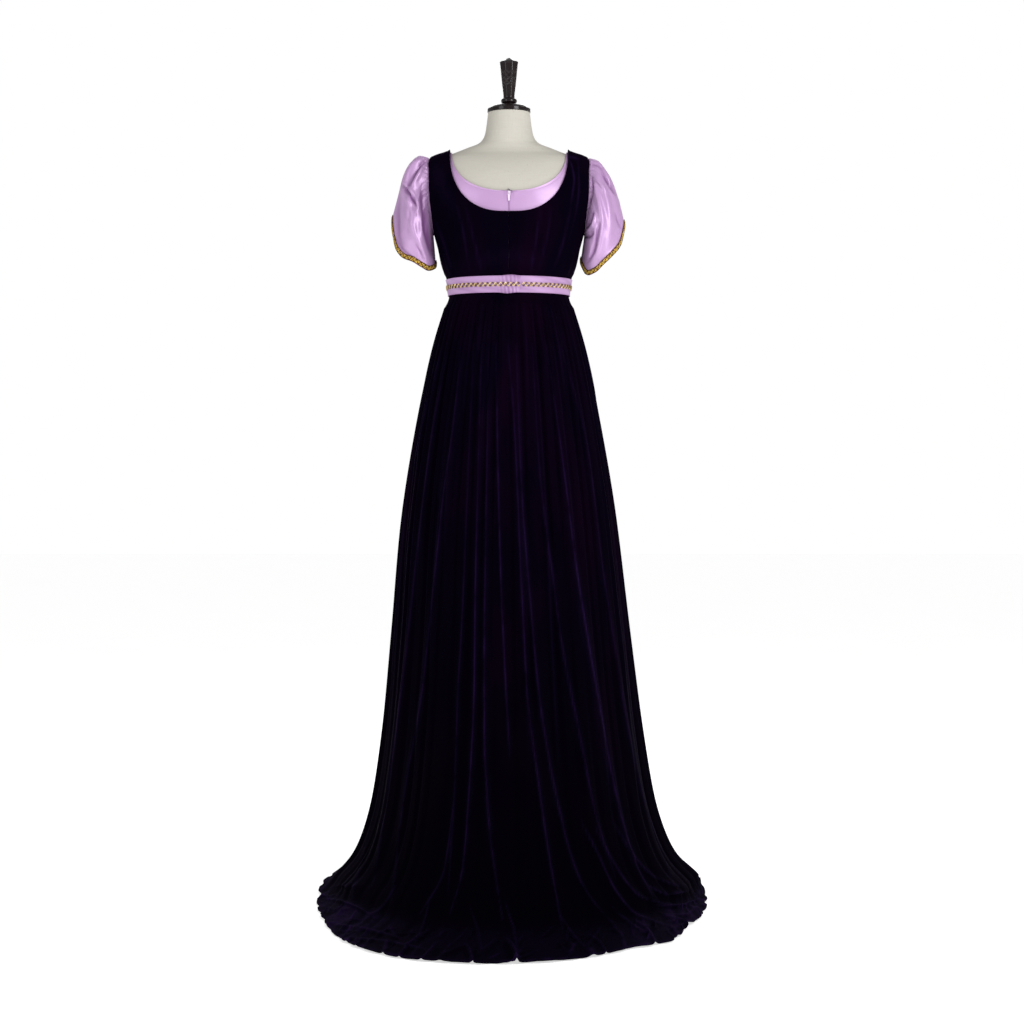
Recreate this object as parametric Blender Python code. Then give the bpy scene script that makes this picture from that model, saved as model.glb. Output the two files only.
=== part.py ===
"""A two-piece gown of the Regency kind on a dress form, seen from all sides.

The under-dress is satin: a scoop-necked bodice with a zip at centre back, puffed petal sleeves and a skirt.
The over-gown is velvet: a sleeveless bodice, a gathered skirt with a train, and a satin belt over the waist seam.
Metres, +Z up, the wearer faces -Y, and the origin is on the floor under the centre of the form's foot.
"""

import math

import bmesh
import bpy
from mathutils import Matrix, Vector

# Driving heights, above the floor.
WAIST_SEAM = 1.3110
BELT_LOW = 1.2935
BELT_HIGH = 1.3290
UNDERARM = 1.4300
SHOULDER_TIP = 1.5960
NECK_TOP = 1.7000
FORM_BOTTOM = 0.8800

# Cloth: how far each layer's inner face stands off the body's surface, and how thick it is. The form is that
# much smaller than this surface, as a form is padded up to its gown.
SEAM_GAP = 0.0003
FORM_EASE = 0.0015
SATIN_OFF = 0.0008
SATIN_WALL = 0.0010
VELVET_OFF = 0.0042
VELVET_WALL = 0.0020
BELT_OFF = 0.0070
BELT_WALL = 0.0012
BRAID_OFF = 0.0003
BRAID_WALL = 0.0014
SLEEVE_BRAID_WIDTH = 0.0115
BELT_BRAID_WIDTH = 0.0104

# The dress form, and the base of every bodice panel. Reach is from the form's upright axis.
BODY_COLUMNS = ("height", "half_width", "back", "front", "square")
BODY = (
    (FORM_BOTTOM, 0.1600, 0.118, 0.100, 2.20),
    (0.9600, 0.1740, 0.128, 0.108, 2.20),
    (1.0600, 0.1630, 0.116, 0.104, 2.20),
    (1.1400, 0.1340, 0.094, 0.094, 2.10),
    (1.1950, 0.1225, 0.086, 0.090, 2.10),
    (1.2500, 0.1225, 0.090, 0.093, 2.10),
    (1.3000, 0.1280, 0.098, 0.100, 2.15),
    (1.3300, 0.1325, 0.103, 0.110, 2.20),
    (1.3650, 0.1435, 0.107, 0.128, 2.20),
    (1.3950, 0.1500, 0.110, 0.138, 2.20),
    (1.4300, 0.1600, 0.112, 0.139, 2.20),
    (1.4700, 0.1695, 0.112, 0.128, 2.20),
    (1.5100, 0.1770, 0.109, 0.110, 2.20),
    (1.5500, 0.1795, 0.099, 0.090, 2.10),
    (1.5800, 0.1785, 0.084, 0.070, 2.00),
    (1.5960, 0.1690, 0.071, 0.057, 2.00),
    (1.6080, 0.1310, 0.060, 0.048, 2.00),
    (1.6210, 0.0970, 0.054, 0.045, 2.00),
    (1.6340, 0.0660, 0.052, 0.046, 2.00),
    (1.6500, 0.0555, 0.052, 0.048, 2.00),
    (1.6750, 0.0510, 0.050, 0.048, 2.00),
    (NECK_TOP, 0.0480, 0.048, 0.048, 2.00),
)

# Necklines: half width at the shoulder ridge, and height of the lowest point at back and front.
NECKLINE_COLUMNS = ("half_width", "back_low", "front_low", "square")
VELVET_NECK = dict(zip(NECKLINE_COLUMNS, (0.1280, 1.4660, 1.4480, 2.40)))
SATIN_NECK = dict(zip(NECKLINE_COLUMNS, (0.1260, 1.5120, 1.4800, 2.30)))

# The armhole is an oval seen from the side: its reach to back and front of the side seam.
ARMHOLE_BACK = 0.0360
ARMHOLE_FRONT = 0.0460
VELVET_ARMHOLE_EASE = 0.0006

# The velvet is drawn into soft gathers that start just above the belt and die out higher up.
BODICE_GATHERS = 5
BODICE_GATHER_DEPTH = 0.0030
GATHER_START, GATHER_FULL, GATHER_END = 0.006, 0.015, 0.120
SLEEVE_HEAD_EASE = 0.0024

# Velvet skirt, outer face, one row for each ring from under the belt to the floor. The form leans a little, so
# the rings drift to the wearer's right on their way down.
SKIRT_COLUMNS = ("height", "half_width", "front", "back", "centre", "drift", "gather", "flute")
SKIRT = (
    (1.2640, 0.1425, 0.1165, 0.1200, 0.00, 0.0000, 0.0020, 0.0000),
    (1.1850, 0.1630, 0.1330, 0.1560, 0.00, 0.0000, 0.0038, 0.0010),
    (1.0200, 0.1960, 0.1560, 0.2080, 0.00, 0.0000, 0.0048, 0.0030),
    (0.8000, 0.2290, 0.1820, 0.2680, 0.01, -0.0010, 0.0050, 0.0055),
    (0.5600, 0.2515, 0.2080, 0.3320, 0.02, -0.0050, 0.0046, 0.0080),
    (0.3400, 0.2745, 0.2300, 0.3980, 0.03, -0.0090, 0.0042, 0.0095),
    (0.1700, 0.3020, 0.2500, 0.4660, 0.05, -0.0110, 0.0040, 0.0100),
    (0.0800, 0.3370, 0.2680, 0.5230, 0.07, -0.0130, 0.0036, 0.0090),
    (0.0300, 0.3830, 0.2860, 0.5850, 0.09, -0.0150, 0.0030, 0.0070),
)
# The part of the skirt that lies on the floor: how far towards the hem, and the height of its ripples there.
LYING = ((0.42, 0.0110), (1.00, 0.0050))
HEM = dict(half_width=0.413, front=0.312, back=0.934, centre=0.10, square=2.26, drift=-0.006, tail=0.036)
# The tail of the train swings to the wearer's left, from this far round the hem (as a sine) to this far.
TAIL_FROM, TAIL_FULL = 0.37, 1.00
HEM_WAVE = 0.003
SKIRT_SQUARE = 2.15
SEAM_RING = BELT_LOW - 0.0010
BACK_GATHERS = 26
FRONT_GATHERS = 12

# Satin under-skirt, outer face.
UNDER_COLUMNS = ("height", "half_width", "front", "back", "flute")
UNDER_SKIRT = (
    (1.2640, 0.1350, 0.1070, 0.1100, 0.0000),
    (1.1850, 0.1480, 0.1160, 0.1180, 0.0015),
    (0.9700, 0.1880, 0.1330, 0.1560, 0.0040),
    (0.6500, 0.2200, 0.1600, 0.1900, 0.0070),
    (0.3300, 0.2450, 0.1850, 0.2200, 0.0090),
    (0.0400, 0.2650, 0.2050, 0.2450, 0.0100),
)
UNDER_FLUTES = 16

# Sleeve hem heights, by the angle round the arm from its outer side; the front of the hem is cut a little higher.
# The left head is puffed higher and its cuff stands further out.
HEM_ANGLES = (0, 20, 40, 66, 90, 112, 132, 155, 180)
LEFT = dict(
    cuff_centre=0.2110, head_lift=0.0020,
    hem=(1.462, 1.428, 1.392, 1.371, 1.363, 1.352, 1.345, 1.350, 1.362),
)
RIGHT = dict(
    cuff_centre=0.2080, head_lift=-0.0140,
    hem=(1.462, 1.432, 1.401, 1.377, 1.357, 1.342, 1.341, 1.356, 1.370),
)
CUFF_HALF_WIDTH = 0.0490
CUFF_HALF_DEPTH = 0.0580
FRONT_HEM_RISE = 0.0140
SLEEVE_ANGLES = 26
SLEEVE_GATHERS = 7
# The sleeve's outer line from head to hem, as (share, across, down): how much of the way out and of the way down
# it has gone.
SLEEVE_LINE = (
    (0.000, 0.000, 0.000),
    (0.120, 0.230, -0.025),
    (0.280, 0.490, 0.090),
    (0.460, 0.690, 0.300),
    (0.680, 0.830, 0.600),
    (0.915, 0.970, 0.915),
    (1.000, 1.000, 1.000),
)
PUFF = 0.014
SLEEVE_PLEAT = 0.0028
SLEEVE_CLEAR = 0.0015

BASE_RADIUS = 0.180
BASE_HEIGHT = 0.024
POLE_RADIUS = 0.016

# The belt laps over itself by twice this angle, and climbs onto itself over the last stretch of its way round.
BELT_LAP = math.radians(9)
BELT_CLIMB = math.radians(26)
LAP_ROOM = 0.0006

SLIDER_HEIGHT = 1.5065
SLIDER_HALF = (0.0030, 0.0016, 0.0050)
BAIL_HALF_WIDTH = 0.0009
BAIL_WALL = 0.0009
BAIL_LEG = (0.0016, 0.0026)
BAIL_ROOM = 0.0021
PULL_LENGTH = 0.0175
PULL_HALF_WIDTH = 0.0024
PULL_WALL = 0.0010


def lerp(a, b, share):
    return a + (b - a) * share


def curve_through(xs, ys):
    """A smooth line through the points that never overshoots them."""
    steps = [b - a for a, b in zip(xs, xs[1:])]
    slopes = [(b - a) / h for a, b, h in zip(ys, ys[1:], steps)]
    tilts = [slopes[0]]
    for left, right in zip(slopes, slopes[1:]):
        tilts.append(0.0 if left * right <= 0 else 2 * left * right / (left + right))
    tilts.append(slopes[-1])

    def value(x):
        x = min(max(x, xs[0]), xs[-1])
        k = 0
        while k < len(steps) - 1 and x > xs[k + 1]:
            k += 1
        h, t = steps[k], (x - xs[k]) / steps[k]
        return (
            (1 + 2 * t) * (1 - t) ** 2 * ys[k]
            + t * (1 - t) ** 2 * h * tilts[k]
            + t * t * (3 - 2 * t) * ys[k + 1]
            + t * t * (t - 1) * h * tilts[k + 1]
        )

    return value


def oval(angle, half_width, front, back, centre, square):
    """A point on a rounded section: 0 is the wearer's left side, and a quarter turn is the back."""
    c, s = math.cos(angle), math.sin(angle)
    reach = back - centre if s >= 0 else front + centre
    x = half_width * math.copysign(abs(c) ** (2 / square), c)
    y = centre + reach * math.copysign(abs(s) ** (2 / square), s)
    return x, y


# The body's sections are placed along its side profile, so the flat shoulder is as well measured as the sides.
RUNS = [0.0]
for lower, upper in zip(BODY, BODY[1:]):
    RUNS.append(RUNS[-1] + math.hypot(upper[0] - lower[0], upper[1] - lower[1]))
BODY_AT = {name: curve_through(RUNS, [row[k] for row in BODY]) for k, name in enumerate(BODY_COLUMNS)}


def body_point(angle, run):
    """A point of the form's surface, at that angle and that distance up its side profile."""
    half_width, back, front, square = (BODY_AT[n](run) for n in ("half_width", "back", "front", "square"))
    x, y = oval(angle, half_width, front, back, 0.0, square)
    return Vector((x, y, BODY_AT["height"](run)))


def surface_normal(point_at, u, v, step_u, step_v):
    along_u = point_at(u + step_u, v) - point_at(u - step_u, v)
    along_v = point_at(u, v + step_v) - point_at(u, v - step_v)
    return along_u.cross(along_v).normalized()


def off_body(angle, run, off):
    """The form's surface moved out along its normal."""
    inside = min(max(run, 0.002), RUNS[-1] - 0.002)
    return body_point(angle, run) + off * surface_normal(body_point, angle, inside, 0.02, 0.002)


def run_at(height):
    low, high = 0.0, RUNS[-1]
    for _ in range(40):
        middle = (low + high) / 2
        if BODY_AT["height"](middle) < height:
            low = middle
        else:
            high = middle
    return (low + high) / 2


def ridge_run(half_width):
    """Where the shoulder ridge is that far from the axis."""
    low, high = run_at(1.575), RUNS[-1]
    for _ in range(40):
        middle = (low + high) / 2
        if BODY_AT["half_width"](middle) > half_width:
            low = middle
        else:
            high = middle
    return (low + high) / 2


def angle_at_x(x, run):
    share = min(1.0, x / BODY_AT["half_width"](run))
    return math.acos(share ** (BODY_AT["square"](run) / 2))


def angle_at_y(y, run, side):
    share = min(1.0, y / BODY_AT["back" if side > 0 else "front"](run))
    return math.asin(share ** (BODY_AT["square"](run) / 2))


def material(name, colour, roughness, metallic=0.0, sheen=0.0):
    made = bpy.data.materials.new(name)
    made.use_nodes = True
    shader = made.node_tree.nodes["Principled BSDF"]
    shader.inputs["Base Color"].default_value = (*colour, 1.0)
    shader.inputs["Roughness"].default_value = roughness
    shader.inputs["Metallic"].default_value = metallic
    shader.inputs["Sheen Weight"].default_value = sheen
    return made


def solid(name, points, faces, finish, smooth=True):
    """One closed object from points and faces, with its faces turned to the outside."""
    mesh = bpy.data.meshes.new(name)
    mesh.from_pydata([tuple(p) for p in points], [], faces)
    shaped = bmesh.new()
    shaped.from_mesh(mesh)
    bmesh.ops.recalc_face_normals(shaped, faces=shaped.faces)
    shaped.to_mesh(mesh)
    shaped.free()
    mesh.materials.append(finish)
    if smooth:
        mesh.shade_smooth()
        mesh.set_sharp_from_angle(angle=math.radians(50))
    made = bpy.data.objects.new(name, mesh)
    bpy.context.scene.collection.objects.link(made)
    return made


def grid_faces(columns, rows, round_it=False):
    """Triangles over a grid whose points run row by row. A round grid joins its last column to its first."""
    faces = []
    for row in range(rows - 1):
        for column in range(columns if round_it else columns - 1):
            a = row * columns + column
            b = row * columns + (column + 1) % columns
            faces += [(a, b, b + columns), (a, b + columns, a + columns)]
    return faces


def wall(name, outer, inner, faces, finish):
    """Cloth: an outer face, the same face again inside it, and a rim along every free edge."""
    count = len(outer)
    edges = {(face[k], face[(k + 1) % 3]) for face in faces for k in range(3)}
    rim = [(b, a, a + count, b + count) for a, b in edges if (b, a) not in edges]
    rim_triangles = []
    for a, b, c, d in sorted(rim):
        rim_triangles += [(a, b, c), (a, c, d)]
    inside = [(c + count, b + count, a + count) for a, b, c in faces]
    return solid(name, list(outer) + list(inner), faces + inside + rim_triangles, finish)


def turned(name, profile, finish, sides, smooth=True, bottom=0.0):
    """A piece turned on a lathe: (radius, height) from bottom to top, with closed ends."""
    points = []
    for radius, height in profile:
        for k in range(sides):
            angle = 2 * math.pi * k / sides
            points.append((radius * math.cos(angle), radius * math.sin(angle), bottom + height))
    faces = [tuple(f) for f in grid_faces(sides, len(profile), round_it=True)]
    faces.append(tuple(range(sides)))
    faces.append(tuple(range(len(points) - sides, len(points))))
    return solid(name, points, faces, finish, smooth)


def dress_form(linen, wood, metal):
    """The form: a linen-covered body with a neck, a wooden cap and handle, on a pole and a round foot."""
    columns = 28
    points = [off_body(2 * math.pi * k / columns, run, -FORM_EASE) for run in RUNS for k in range(columns)]
    for k in range(columns):
        points[k].z = FORM_BOTTOM
        points[-1 - k].z = NECK_TOP
    faces = grid_faces(columns, len(RUNS), round_it=True)
    faces.append(tuple(range(columns)))
    faces.append(tuple(range(len(points) - columns, len(points))))
    solid("form_body", points, faces, linen)

    cap = ((0.0478, 0.0), (0.0484, 0.0015), (0.0484, 0.0075), (0.0440, 0.0120), (0.0300, 0.0175), (0.0165, 0.0205))
    cap_bottom = NECK_TOP + SEAM_GAP
    turned("form_neck_cap", cap, wood, 28, bottom=cap_bottom)
    handle = (
        (0.0120, 0.0), (0.0165, 0.0020), (0.0178, 0.0060), (0.0165, 0.0100), (0.0128, 0.0122),
        (0.0128, 0.0150), (0.0160, 0.0460), (0.0172, 0.0520), (0.0215, 0.0900), (0.0030, 0.1010),
    )
    turned("form_handle", handle, wood, 16, bottom=cap_bottom + cap[-1][1] + SEAM_GAP)

    foot = (
        (BASE_RADIUS - 0.004, 0.0), (BASE_RADIUS, 0.004), (BASE_RADIUS, 0.014),
        (BASE_RADIUS - 0.012, 0.020), (0.034, BASE_HEIGHT),
    )
    turned("form_foot", foot, metal, 32)
    pole_bottom = BASE_HEIGHT + SEAM_GAP
    collar_top = 0.040
    pole = (
        (0.027, 0.0), (0.027, collar_top), (POLE_RADIUS, collar_top + 0.004),
        (POLE_RADIUS, FORM_BOTTOM - SEAM_GAP - pole_bottom),
    )
    turned("form_pole", pole, metal, 24, bottom=pole_bottom)


def evenly_spaced(edge, count):
    """That many (angle, run) places along an edge, the same distance apart on the body."""
    fine = [edge(k / 60) for k in range(61)]
    spots = [body_point(*place) for place in fine]
    lengths = [0.0]
    for a, b in zip(spots, spots[1:]):
        lengths.append(lengths[-1] + (b - a).length)
    places = []
    for k in range(count):
        wanted = lengths[-1] * k / (count - 1)
        at = max(j for j in range(60) if lengths[j] <= wanted + 1e-12)
        share = (wanted - lengths[at]) / max(lengths[at + 1] - lengths[at], 1e-9)
        places.append(tuple(lerp(a, b, share) for a, b in zip(fine[at], fine[at + 1])))
    return places


def armhole_place(turn, side, ease):
    """A place on the armhole: turn is 0 at the shoulder and half a turn under the arm."""
    middle = (UNDERARM + SHOULDER_TIP) / 2
    rise = (SHOULDER_TIP - UNDERARM) / 2 + ease
    reach = (ARMHOLE_BACK if side > 0 else ARMHOLE_FRONT) + ease
    run = run_at(middle + rise * math.cos(turn))
    return angle_at_y(reach * abs(math.sin(turn)), run, side), run


def half_panel(neck, side, ease, columns, rows, corner):
    """The grid of (angle, run) over the left half of a bodice panel, from waist to shoulder.

    The first column follows centre back or front and then the neckline, and the last one the side seam and
    then the armhole. side is 1 for the back and -1 for the front; corner is the row where both turn.
    """
    low = neck["back_low" if side > 0 else "front_low"]
    ridge = ridge_run(neck["half_width"])
    drop = BODY_AT["height"](ridge) - low

    def neckline(share):
        turn = math.pi / 2 * (1 - share)
        run = run_at(BODY_AT["height"](ridge) - drop * math.sin(turn) ** (2 / neck["square"]))
        return angle_at_x(neck["half_width"] * math.cos(turn) ** (2 / neck["square"]), run), run

    def armhole(share):
        return armhole_place(math.pi * (1 - share), side, ease)

    waist, bottom, underarm = run_at(WAIST_SEAM), run_at(low), armhole(0.0)[1]
    inner = [(math.pi / 2, lerp(waist, bottom, row / corner)) for row in range(corner)]
    inner += evenly_spaced(neckline, rows - corner)
    outer = [(0.0, lerp(waist, underarm, row / corner)) for row in range(corner)]
    outer += [armhole(k / (rows - corner - 1)) for k in range(rows - corner)]
    grid = []
    for (inner_angle, inner_run), (outer_angle, outer_run) in zip(inner, outer):
        for column in range(columns):
            share = column / (columns - 1)
            grid.append((side * lerp(inner_angle, outer_angle, share), lerp(inner_run, outer_run, share)))
    return grid


def panel_points(grid, columns, rows, side, off, gathers, gather_depth):
    """The panel's points at that distance off the form, pulled back from its seams by half a seam gap."""
    points = []
    half_gap = SEAM_GAP / 2
    for k, (angle, run) in enumerate(grid):
        row, column = divmod(k, columns)
        above = BODY_AT["height"](run) - BELT_HIGH - GATHER_START
        fade = max(0.0, min(1.0, above / GATHER_FULL)) * max(0.0, 1 - above / GATHER_END)
        fold = gather_depth * fade * (0.5 - 0.5 * math.cos(2 * math.pi * gathers * column / (columns - 1)))
        point = off_body(angle, run, off + fold)
        if column == columns - 1 and abs(angle) < 1e-6 or row == rows - 1:
            point.y = side * half_gap
        if row == 0:
            point.z += half_gap
        points.append(point)
    return points


def bodice(prefix, neck, off, thickness, ease, finish, columns, rows, corner, gathers, gather_depth):
    """Two back panels that meet at centre back, and one front panel cut on the fold."""
    for side, part in ((1, "back"), (-1, "front")):
        grid = half_panel(neck, side, ease, columns, rows, corner)
        faces = grid_faces(columns, rows)
        skins = [
            panel_points(grid, columns, rows, side, off + more, gathers, gather_depth)
            for more in (thickness, 0.0)
        ]
        if side > 0:
            for skin in skins:
                for row in range(corner + 1):
                    skin[row * columns].x = SEAM_GAP / 2
            wall(f"{prefix}_back_left", *skins, faces, finish)
            mirrored = [[Vector((-p.x, p.y, p.z)) for p in skin] for skin in skins]
            wall(f"{prefix}_back_right", *mirrored, [(c, b, a) for a, b, c in faces], finish)
            continue
        # The right half shares the fold's points with the left half, up to the neckline.
        count = len(grid)
        shared = {row * columns: row * columns for row in range(corner + 1)}
        number = dict(shared)
        for k in range(count):
            if k not in shared:
                number[k] = count + len(number) - len(shared)
        whole = []
        for skin in skins:
            for k in shared:
                skin[k].x = 0.0
            whole.append(skin + [Vector((-p.x, p.y, p.z)) for k, p in enumerate(skin) if k not in shared])
        faces = faces + [(number[c], number[b], number[a]) for a, b, c in faces]
        wall(f"{prefix}_front", *whole, faces, finish)


def sleeve_point(turn, level, arm, hem_at):
    """Outer face of the left sleeve: turn is 0 at the shoulder and half a turn under the arm, back first."""
    side = 1 if math.sin(turn) >= 0 else -1
    angle, run = armhole_place(turn, side, -SLEEVE_HEAD_EASE)
    angle *= side
    out_of_armhole = VELVET_OFF + VELVET_WALL + SLEEVE_CLEAR
    if level < 0:
        return off_body(angle, run, SATIN_OFF)
    share, across, down = SLEEVE_LINE[level]
    start = off_body(angle, run, out_of_armhole)
    round_arm = math.acos(max(-1.0, min(1.0, math.cos(turn))))
    end = Vector((
        arm["cuff_centre"] + CUFF_HALF_WIDTH * math.cos(turn),
        CUFF_HALF_DEPTH * math.sin(turn),
        hem_at(round_arm) + FRONT_HEM_RISE * max(0.0, -math.sin(turn)),
    ))
    outer = (1 + math.cos(turn)) / 2
    across = lerp(share, across, outer)
    down = lerp(share, down, outer)
    point = Vector((lerp(start.x, end.x, across), lerp(start.y, end.y, across), lerp(start.z, end.z, down)))
    point.z += arm["head_lift"] * outer ** 2 * math.sin(math.pi * min(1.0, share * 1.4))
    swell = PUFF * math.sin(math.pi * min(1.0, share * 1.1)) ** 1.2
    head = max(0.0, math.cos(turn * 0.5)) ** 2
    pleat = SLEEVE_PLEAT * math.sin(math.pi * min(1.0, share * 1.25)) * head * math.cos(2 * SLEEVE_GATHERS * turn)
    point.y += (swell + pleat) * math.sin(turn)
    point.z += pleat * head
    return point


def sleeve(side, prefix, arm, satin, braid):
    """A gathered sleeve with a petal hem, and the braid sewn along that hem."""
    hem_at = curve_through([math.radians(a) for a in HEM_ANGLES], arm["hem"])
    rows = len(SLEEVE_LINE) + 1
    turns = [2 * math.pi * k / SLEEVE_ANGLES for k in range(SLEEVE_ANGLES)]
    outer = [sleeve_point(turn, row - 1, arm, hem_at) for row in range(rows) for turn in turns]
    # The row above the hem is where the braid's upper edge is sewn.
    for k in range((rows - 2) * SLEEVE_ANGLES, (rows - 1) * SLEEVE_ANGLES):
        above, edge = outer[k - SLEEVE_ANGLES], outer[k + SLEEVE_ANGLES]
        outer[k] = edge + (above - edge).normalized() * SLEEVE_BRAID_WIDTH

    def normal(row, column):
        here = max(row, 1)
        before, after = here - 1, min(here + 1, rows - 1)
        around = (
            outer[row * SLEEVE_ANGLES + (column + 1) % SLEEVE_ANGLES]
            - outer[row * SLEEVE_ANGLES + (column - 1) % SLEEVE_ANGLES]
        )
        along = outer[after * SLEEVE_ANGLES + column] - outer[before * SLEEVE_ANGLES + column]
        return along.cross(around).normalized()

    normals = [normal(row, column) for row in range(rows) for column in range(SLEEVE_ANGLES)]
    # A loop that runs back, down and front gives normals that point into the arm.
    centre = Vector((arm["cuff_centre"], 0, 0))
    probe = (rows - 1) * SLEEVE_ANGLES + SLEEVE_ANGLES // 4
    if normals[probe].dot(outer[probe] - centre) < 0:
        normals = [-n for n in normals]

    def mirror(points):
        return [Vector((side * p.x, p.y, p.z)) for p in points]

    inner = [p - SATIN_WALL * n for p, n in zip(outer, normals)]
    faces = grid_faces(SLEEVE_ANGLES, rows, round_it=True)
    wall(f"{prefix}_sleeve", mirror(outer), mirror(inner), faces, satin)

    first = (rows - 2) * SLEEVE_ANGLES
    low = [p + BRAID_OFF * n for p, n in zip(outer[first:], normals[first:])]
    high = [p + (BRAID_OFF + BRAID_WALL) * n for p, n in zip(outer[first:], normals[first:])]
    wall(f"{prefix}_sleeve_braid", mirror(high), mirror(low), grid_faces(SLEEVE_ANGLES, 2, round_it=True), braid)


def irregular(k, spread):
    """A steady scatter about 1, so that neighbouring folds differ."""
    return 1 + spread * math.sin(2.399 * k + 0.7) * math.cos(0.93 * k)


def gather_columns():
    """(angle, fold, broad) of every column round the velvet skirt, from the left side seam through the back.

    Each gather has a narrow valley and a rounded ridge, and broad carries the wider flutes that form below.
    """
    columns = []
    for start, count in ((0.0, BACK_GATHERS), (math.pi, FRONT_GATHERS)):
        widths = [irregular(k + count, 0.4) for k in range(count)]
        half = count // 2
        shares = [w / sum(widths[:half]) / 2 for w in widths[:half]]
        shares += [w / sum(widths[half:]) / 2 for w in widths[half:]]
        angle = start
        for k, share in enumerate(shares):
            for place, fold in ((0.0, -1.0), (0.32, 0.75), (0.70, 1.0)):
                here = angle + math.pi * share * place
                depth = irregular(3 * k + count, 0.45)
                columns.append((here, fold * depth, math.sin(here * 15 + 0.8 * math.sin(here * 4))))
            angle += math.pi * share
    return columns


def skirt_ring(row):
    return dict(zip(SKIRT_COLUMNS, row))


def velvet_skirt(finish):
    """The gathered velvet skirt with its train: one front panel and two back panels."""
    columns = gather_columns()
    contact = skirt_ring(SKIRT[-1])

    def ring_point(column, ring):
        """ring counts down: -2 is the waist seam, and past the table the cloth lies on the floor."""
        angle, fold, broad = columns[column % len(columns)]
        if ring < 0:
            height = WAIST_SEAM - SEAM_GAP / 2 if ring < -1 else SEAM_RING
            return off_body(angle, run_at(height), VELVET_OFF + VELVET_WALL)
        if ring < len(SKIRT):
            r = skirt_ring(SKIRT[ring])
            x, y = oval(angle, r["half_width"], r["front"], r["back"], r["centre"], SKIRT_SQUARE)
            push = fold * r["gather"] + broad * r["flute"]
            out = Vector((x, y - r["centre"], 0)).normalized()
            return Vector((x + r["drift"], y, r["height"])) + out * push
        share, ripple = LYING[ring - len(SKIRT)]
        x, y = oval(
            angle, contact["half_width"], contact["front"], contact["back"], contact["centre"], SKIRT_SQUARE
        )
        near = Vector((x + contact["drift"], y, 0))
        x, y = oval(angle, HEM["half_width"], HEM["front"], HEM["back"], HEM["centre"], HEM["square"])
        out = Vector((x, y - HEM["centre"], 0)).normalized()
        swing = max(0.0, min(1.0, (math.sin(angle) - TAIL_FROM) / (TAIL_FULL - TAIL_FROM)))
        tail = HEM["tail"] * swing * swing * (3 - 2 * swing)
        point = near.lerp(Vector((x + HEM["drift"] + tail, y, 0)), share) + out * fold * HEM_WAVE * share
        lift = ripple * (0.5 + 0.5 * max(-1.0, min(1.0, 0.6 * fold + 0.6 * broad)))
        point.z = VELVET_WALL + lift
        return point

    rings = range(-2, len(SKIRT) + len(LYING))
    number = len(columns)
    outer = {(c, r): ring_point(c, r) for c in range(number) for r in rings}

    def normal(c, r):
        around = outer[(c + 1) % number, r] - outer[(c - 1) % number, r]
        down = outer[c, min(r + 1, rings[-1])] - outer[c, max(r - 1, rings[0])]
        return down.cross(around).normalized()

    back = 3 * BACK_GATHERS
    seams = {0: Vector((0, 1, 0)), back // 2: Vector((-1, 0, 0)), back: Vector((0, -1, 0))}
    panels = (
        ("gown_skirt_back_left", range(0, back // 2 + 1)),
        ("gown_skirt_back_right", range(back // 2, back + 1)),
        ("gown_skirt_front", range(back, number + 1)),
    )
    for name, span in panels:
        skins = ([], [])
        for r in rings:
            for place, c in enumerate(span):
                pull = Vector((0, 0, 0))
                if place == 0:
                    pull = seams[c % number] * SEAM_GAP
                elif place == len(span) - 1:
                    pull = -seams[c % number] * SEAM_GAP
                point = outer[c % number, r] + pull
                skins[0].append(point)
                skins[1].append(point - VELVET_WALL * normal(c % number, r))
        wall(name, *skins, grid_faces(len(span), len(rings)), finish)


def under_skirt(finish):
    """The satin skirt of the under-dress, which hangs clear of the form inside the velvet."""
    sides = 2 * UNDER_FLUTES
    skins = ([], [])
    for skin, inward in zip(skins, (0.0, SATIN_WALL)):
        for height in (WAIST_SEAM - SEAM_GAP / 2, SEAM_RING):
            for k in range(sides):
                angle = 2 * math.pi * k / sides
                skin.append(off_body(angle, run_at(height), SATIN_OFF + SATIN_WALL - inward))
        for row in UNDER_SKIRT:
            r = dict(zip(UNDER_COLUMNS, row))
            for k in range(sides):
                angle = 2 * math.pi * k / sides
                x, y = oval(angle, r["half_width"], r["front"], r["back"], 0.0, SKIRT_SQUARE)
                flute = r["flute"] * math.cos(math.pi * k) * irregular(k // 2, 0.3) - inward
                out = Vector((x, y, 0)).normalized()
                skin.append(Vector((x, y, r["height"])) + out * flute)
    wall("dress_skirt", *skins, grid_faces(sides, len(UNDER_SKIRT) + 2, round_it=True), finish)


def belt(satin, braid):
    """The satin belt, lapped over itself at centre back, and the braid sewn along its middle."""
    start = math.pi / 2 - BELT_LAP
    end = start + 2 * math.pi + 2 * BELT_LAP
    sides = 50
    middle = (BELT_LOW + BELT_HIGH) / 2
    heights = (BELT_LOW, middle, BELT_HIGH)
    angles = [lerp(start, end, k / (sides - 1)) for k in range(sides)]

    def belt_point(angle, height, off):
        climb = max(0.0, min(1.0, (angle - (end - 2 * BELT_LAP - BELT_CLIMB)) / BELT_CLIMB))
        return off_body(angle, run_at(height), BELT_OFF + off + (BELT_WALL + LAP_ROOM) * climb)

    def band(rows, columns, low, high):
        return [[belt_point(angle, h, off) for h in rows for angle in columns] for off in (high, low)]

    wall("gown_belt", *band(heights, angles, 0.0, BELT_WALL), grid_faces(sides, len(heights)), satin)
    shown = [a for a in angles if a > start + 2 * BELT_LAP + math.radians(2)]
    low = BELT_WALL + BRAID_OFF
    edges = (middle - BELT_BRAID_WIDTH / 2, middle + BELT_BRAID_WIDTH / 2)
    strip = band(edges, shown, low, low + BRAID_WALL)
    wall("gown_belt_braid", *strip, grid_faces(len(shown), 2), braid)


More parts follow.
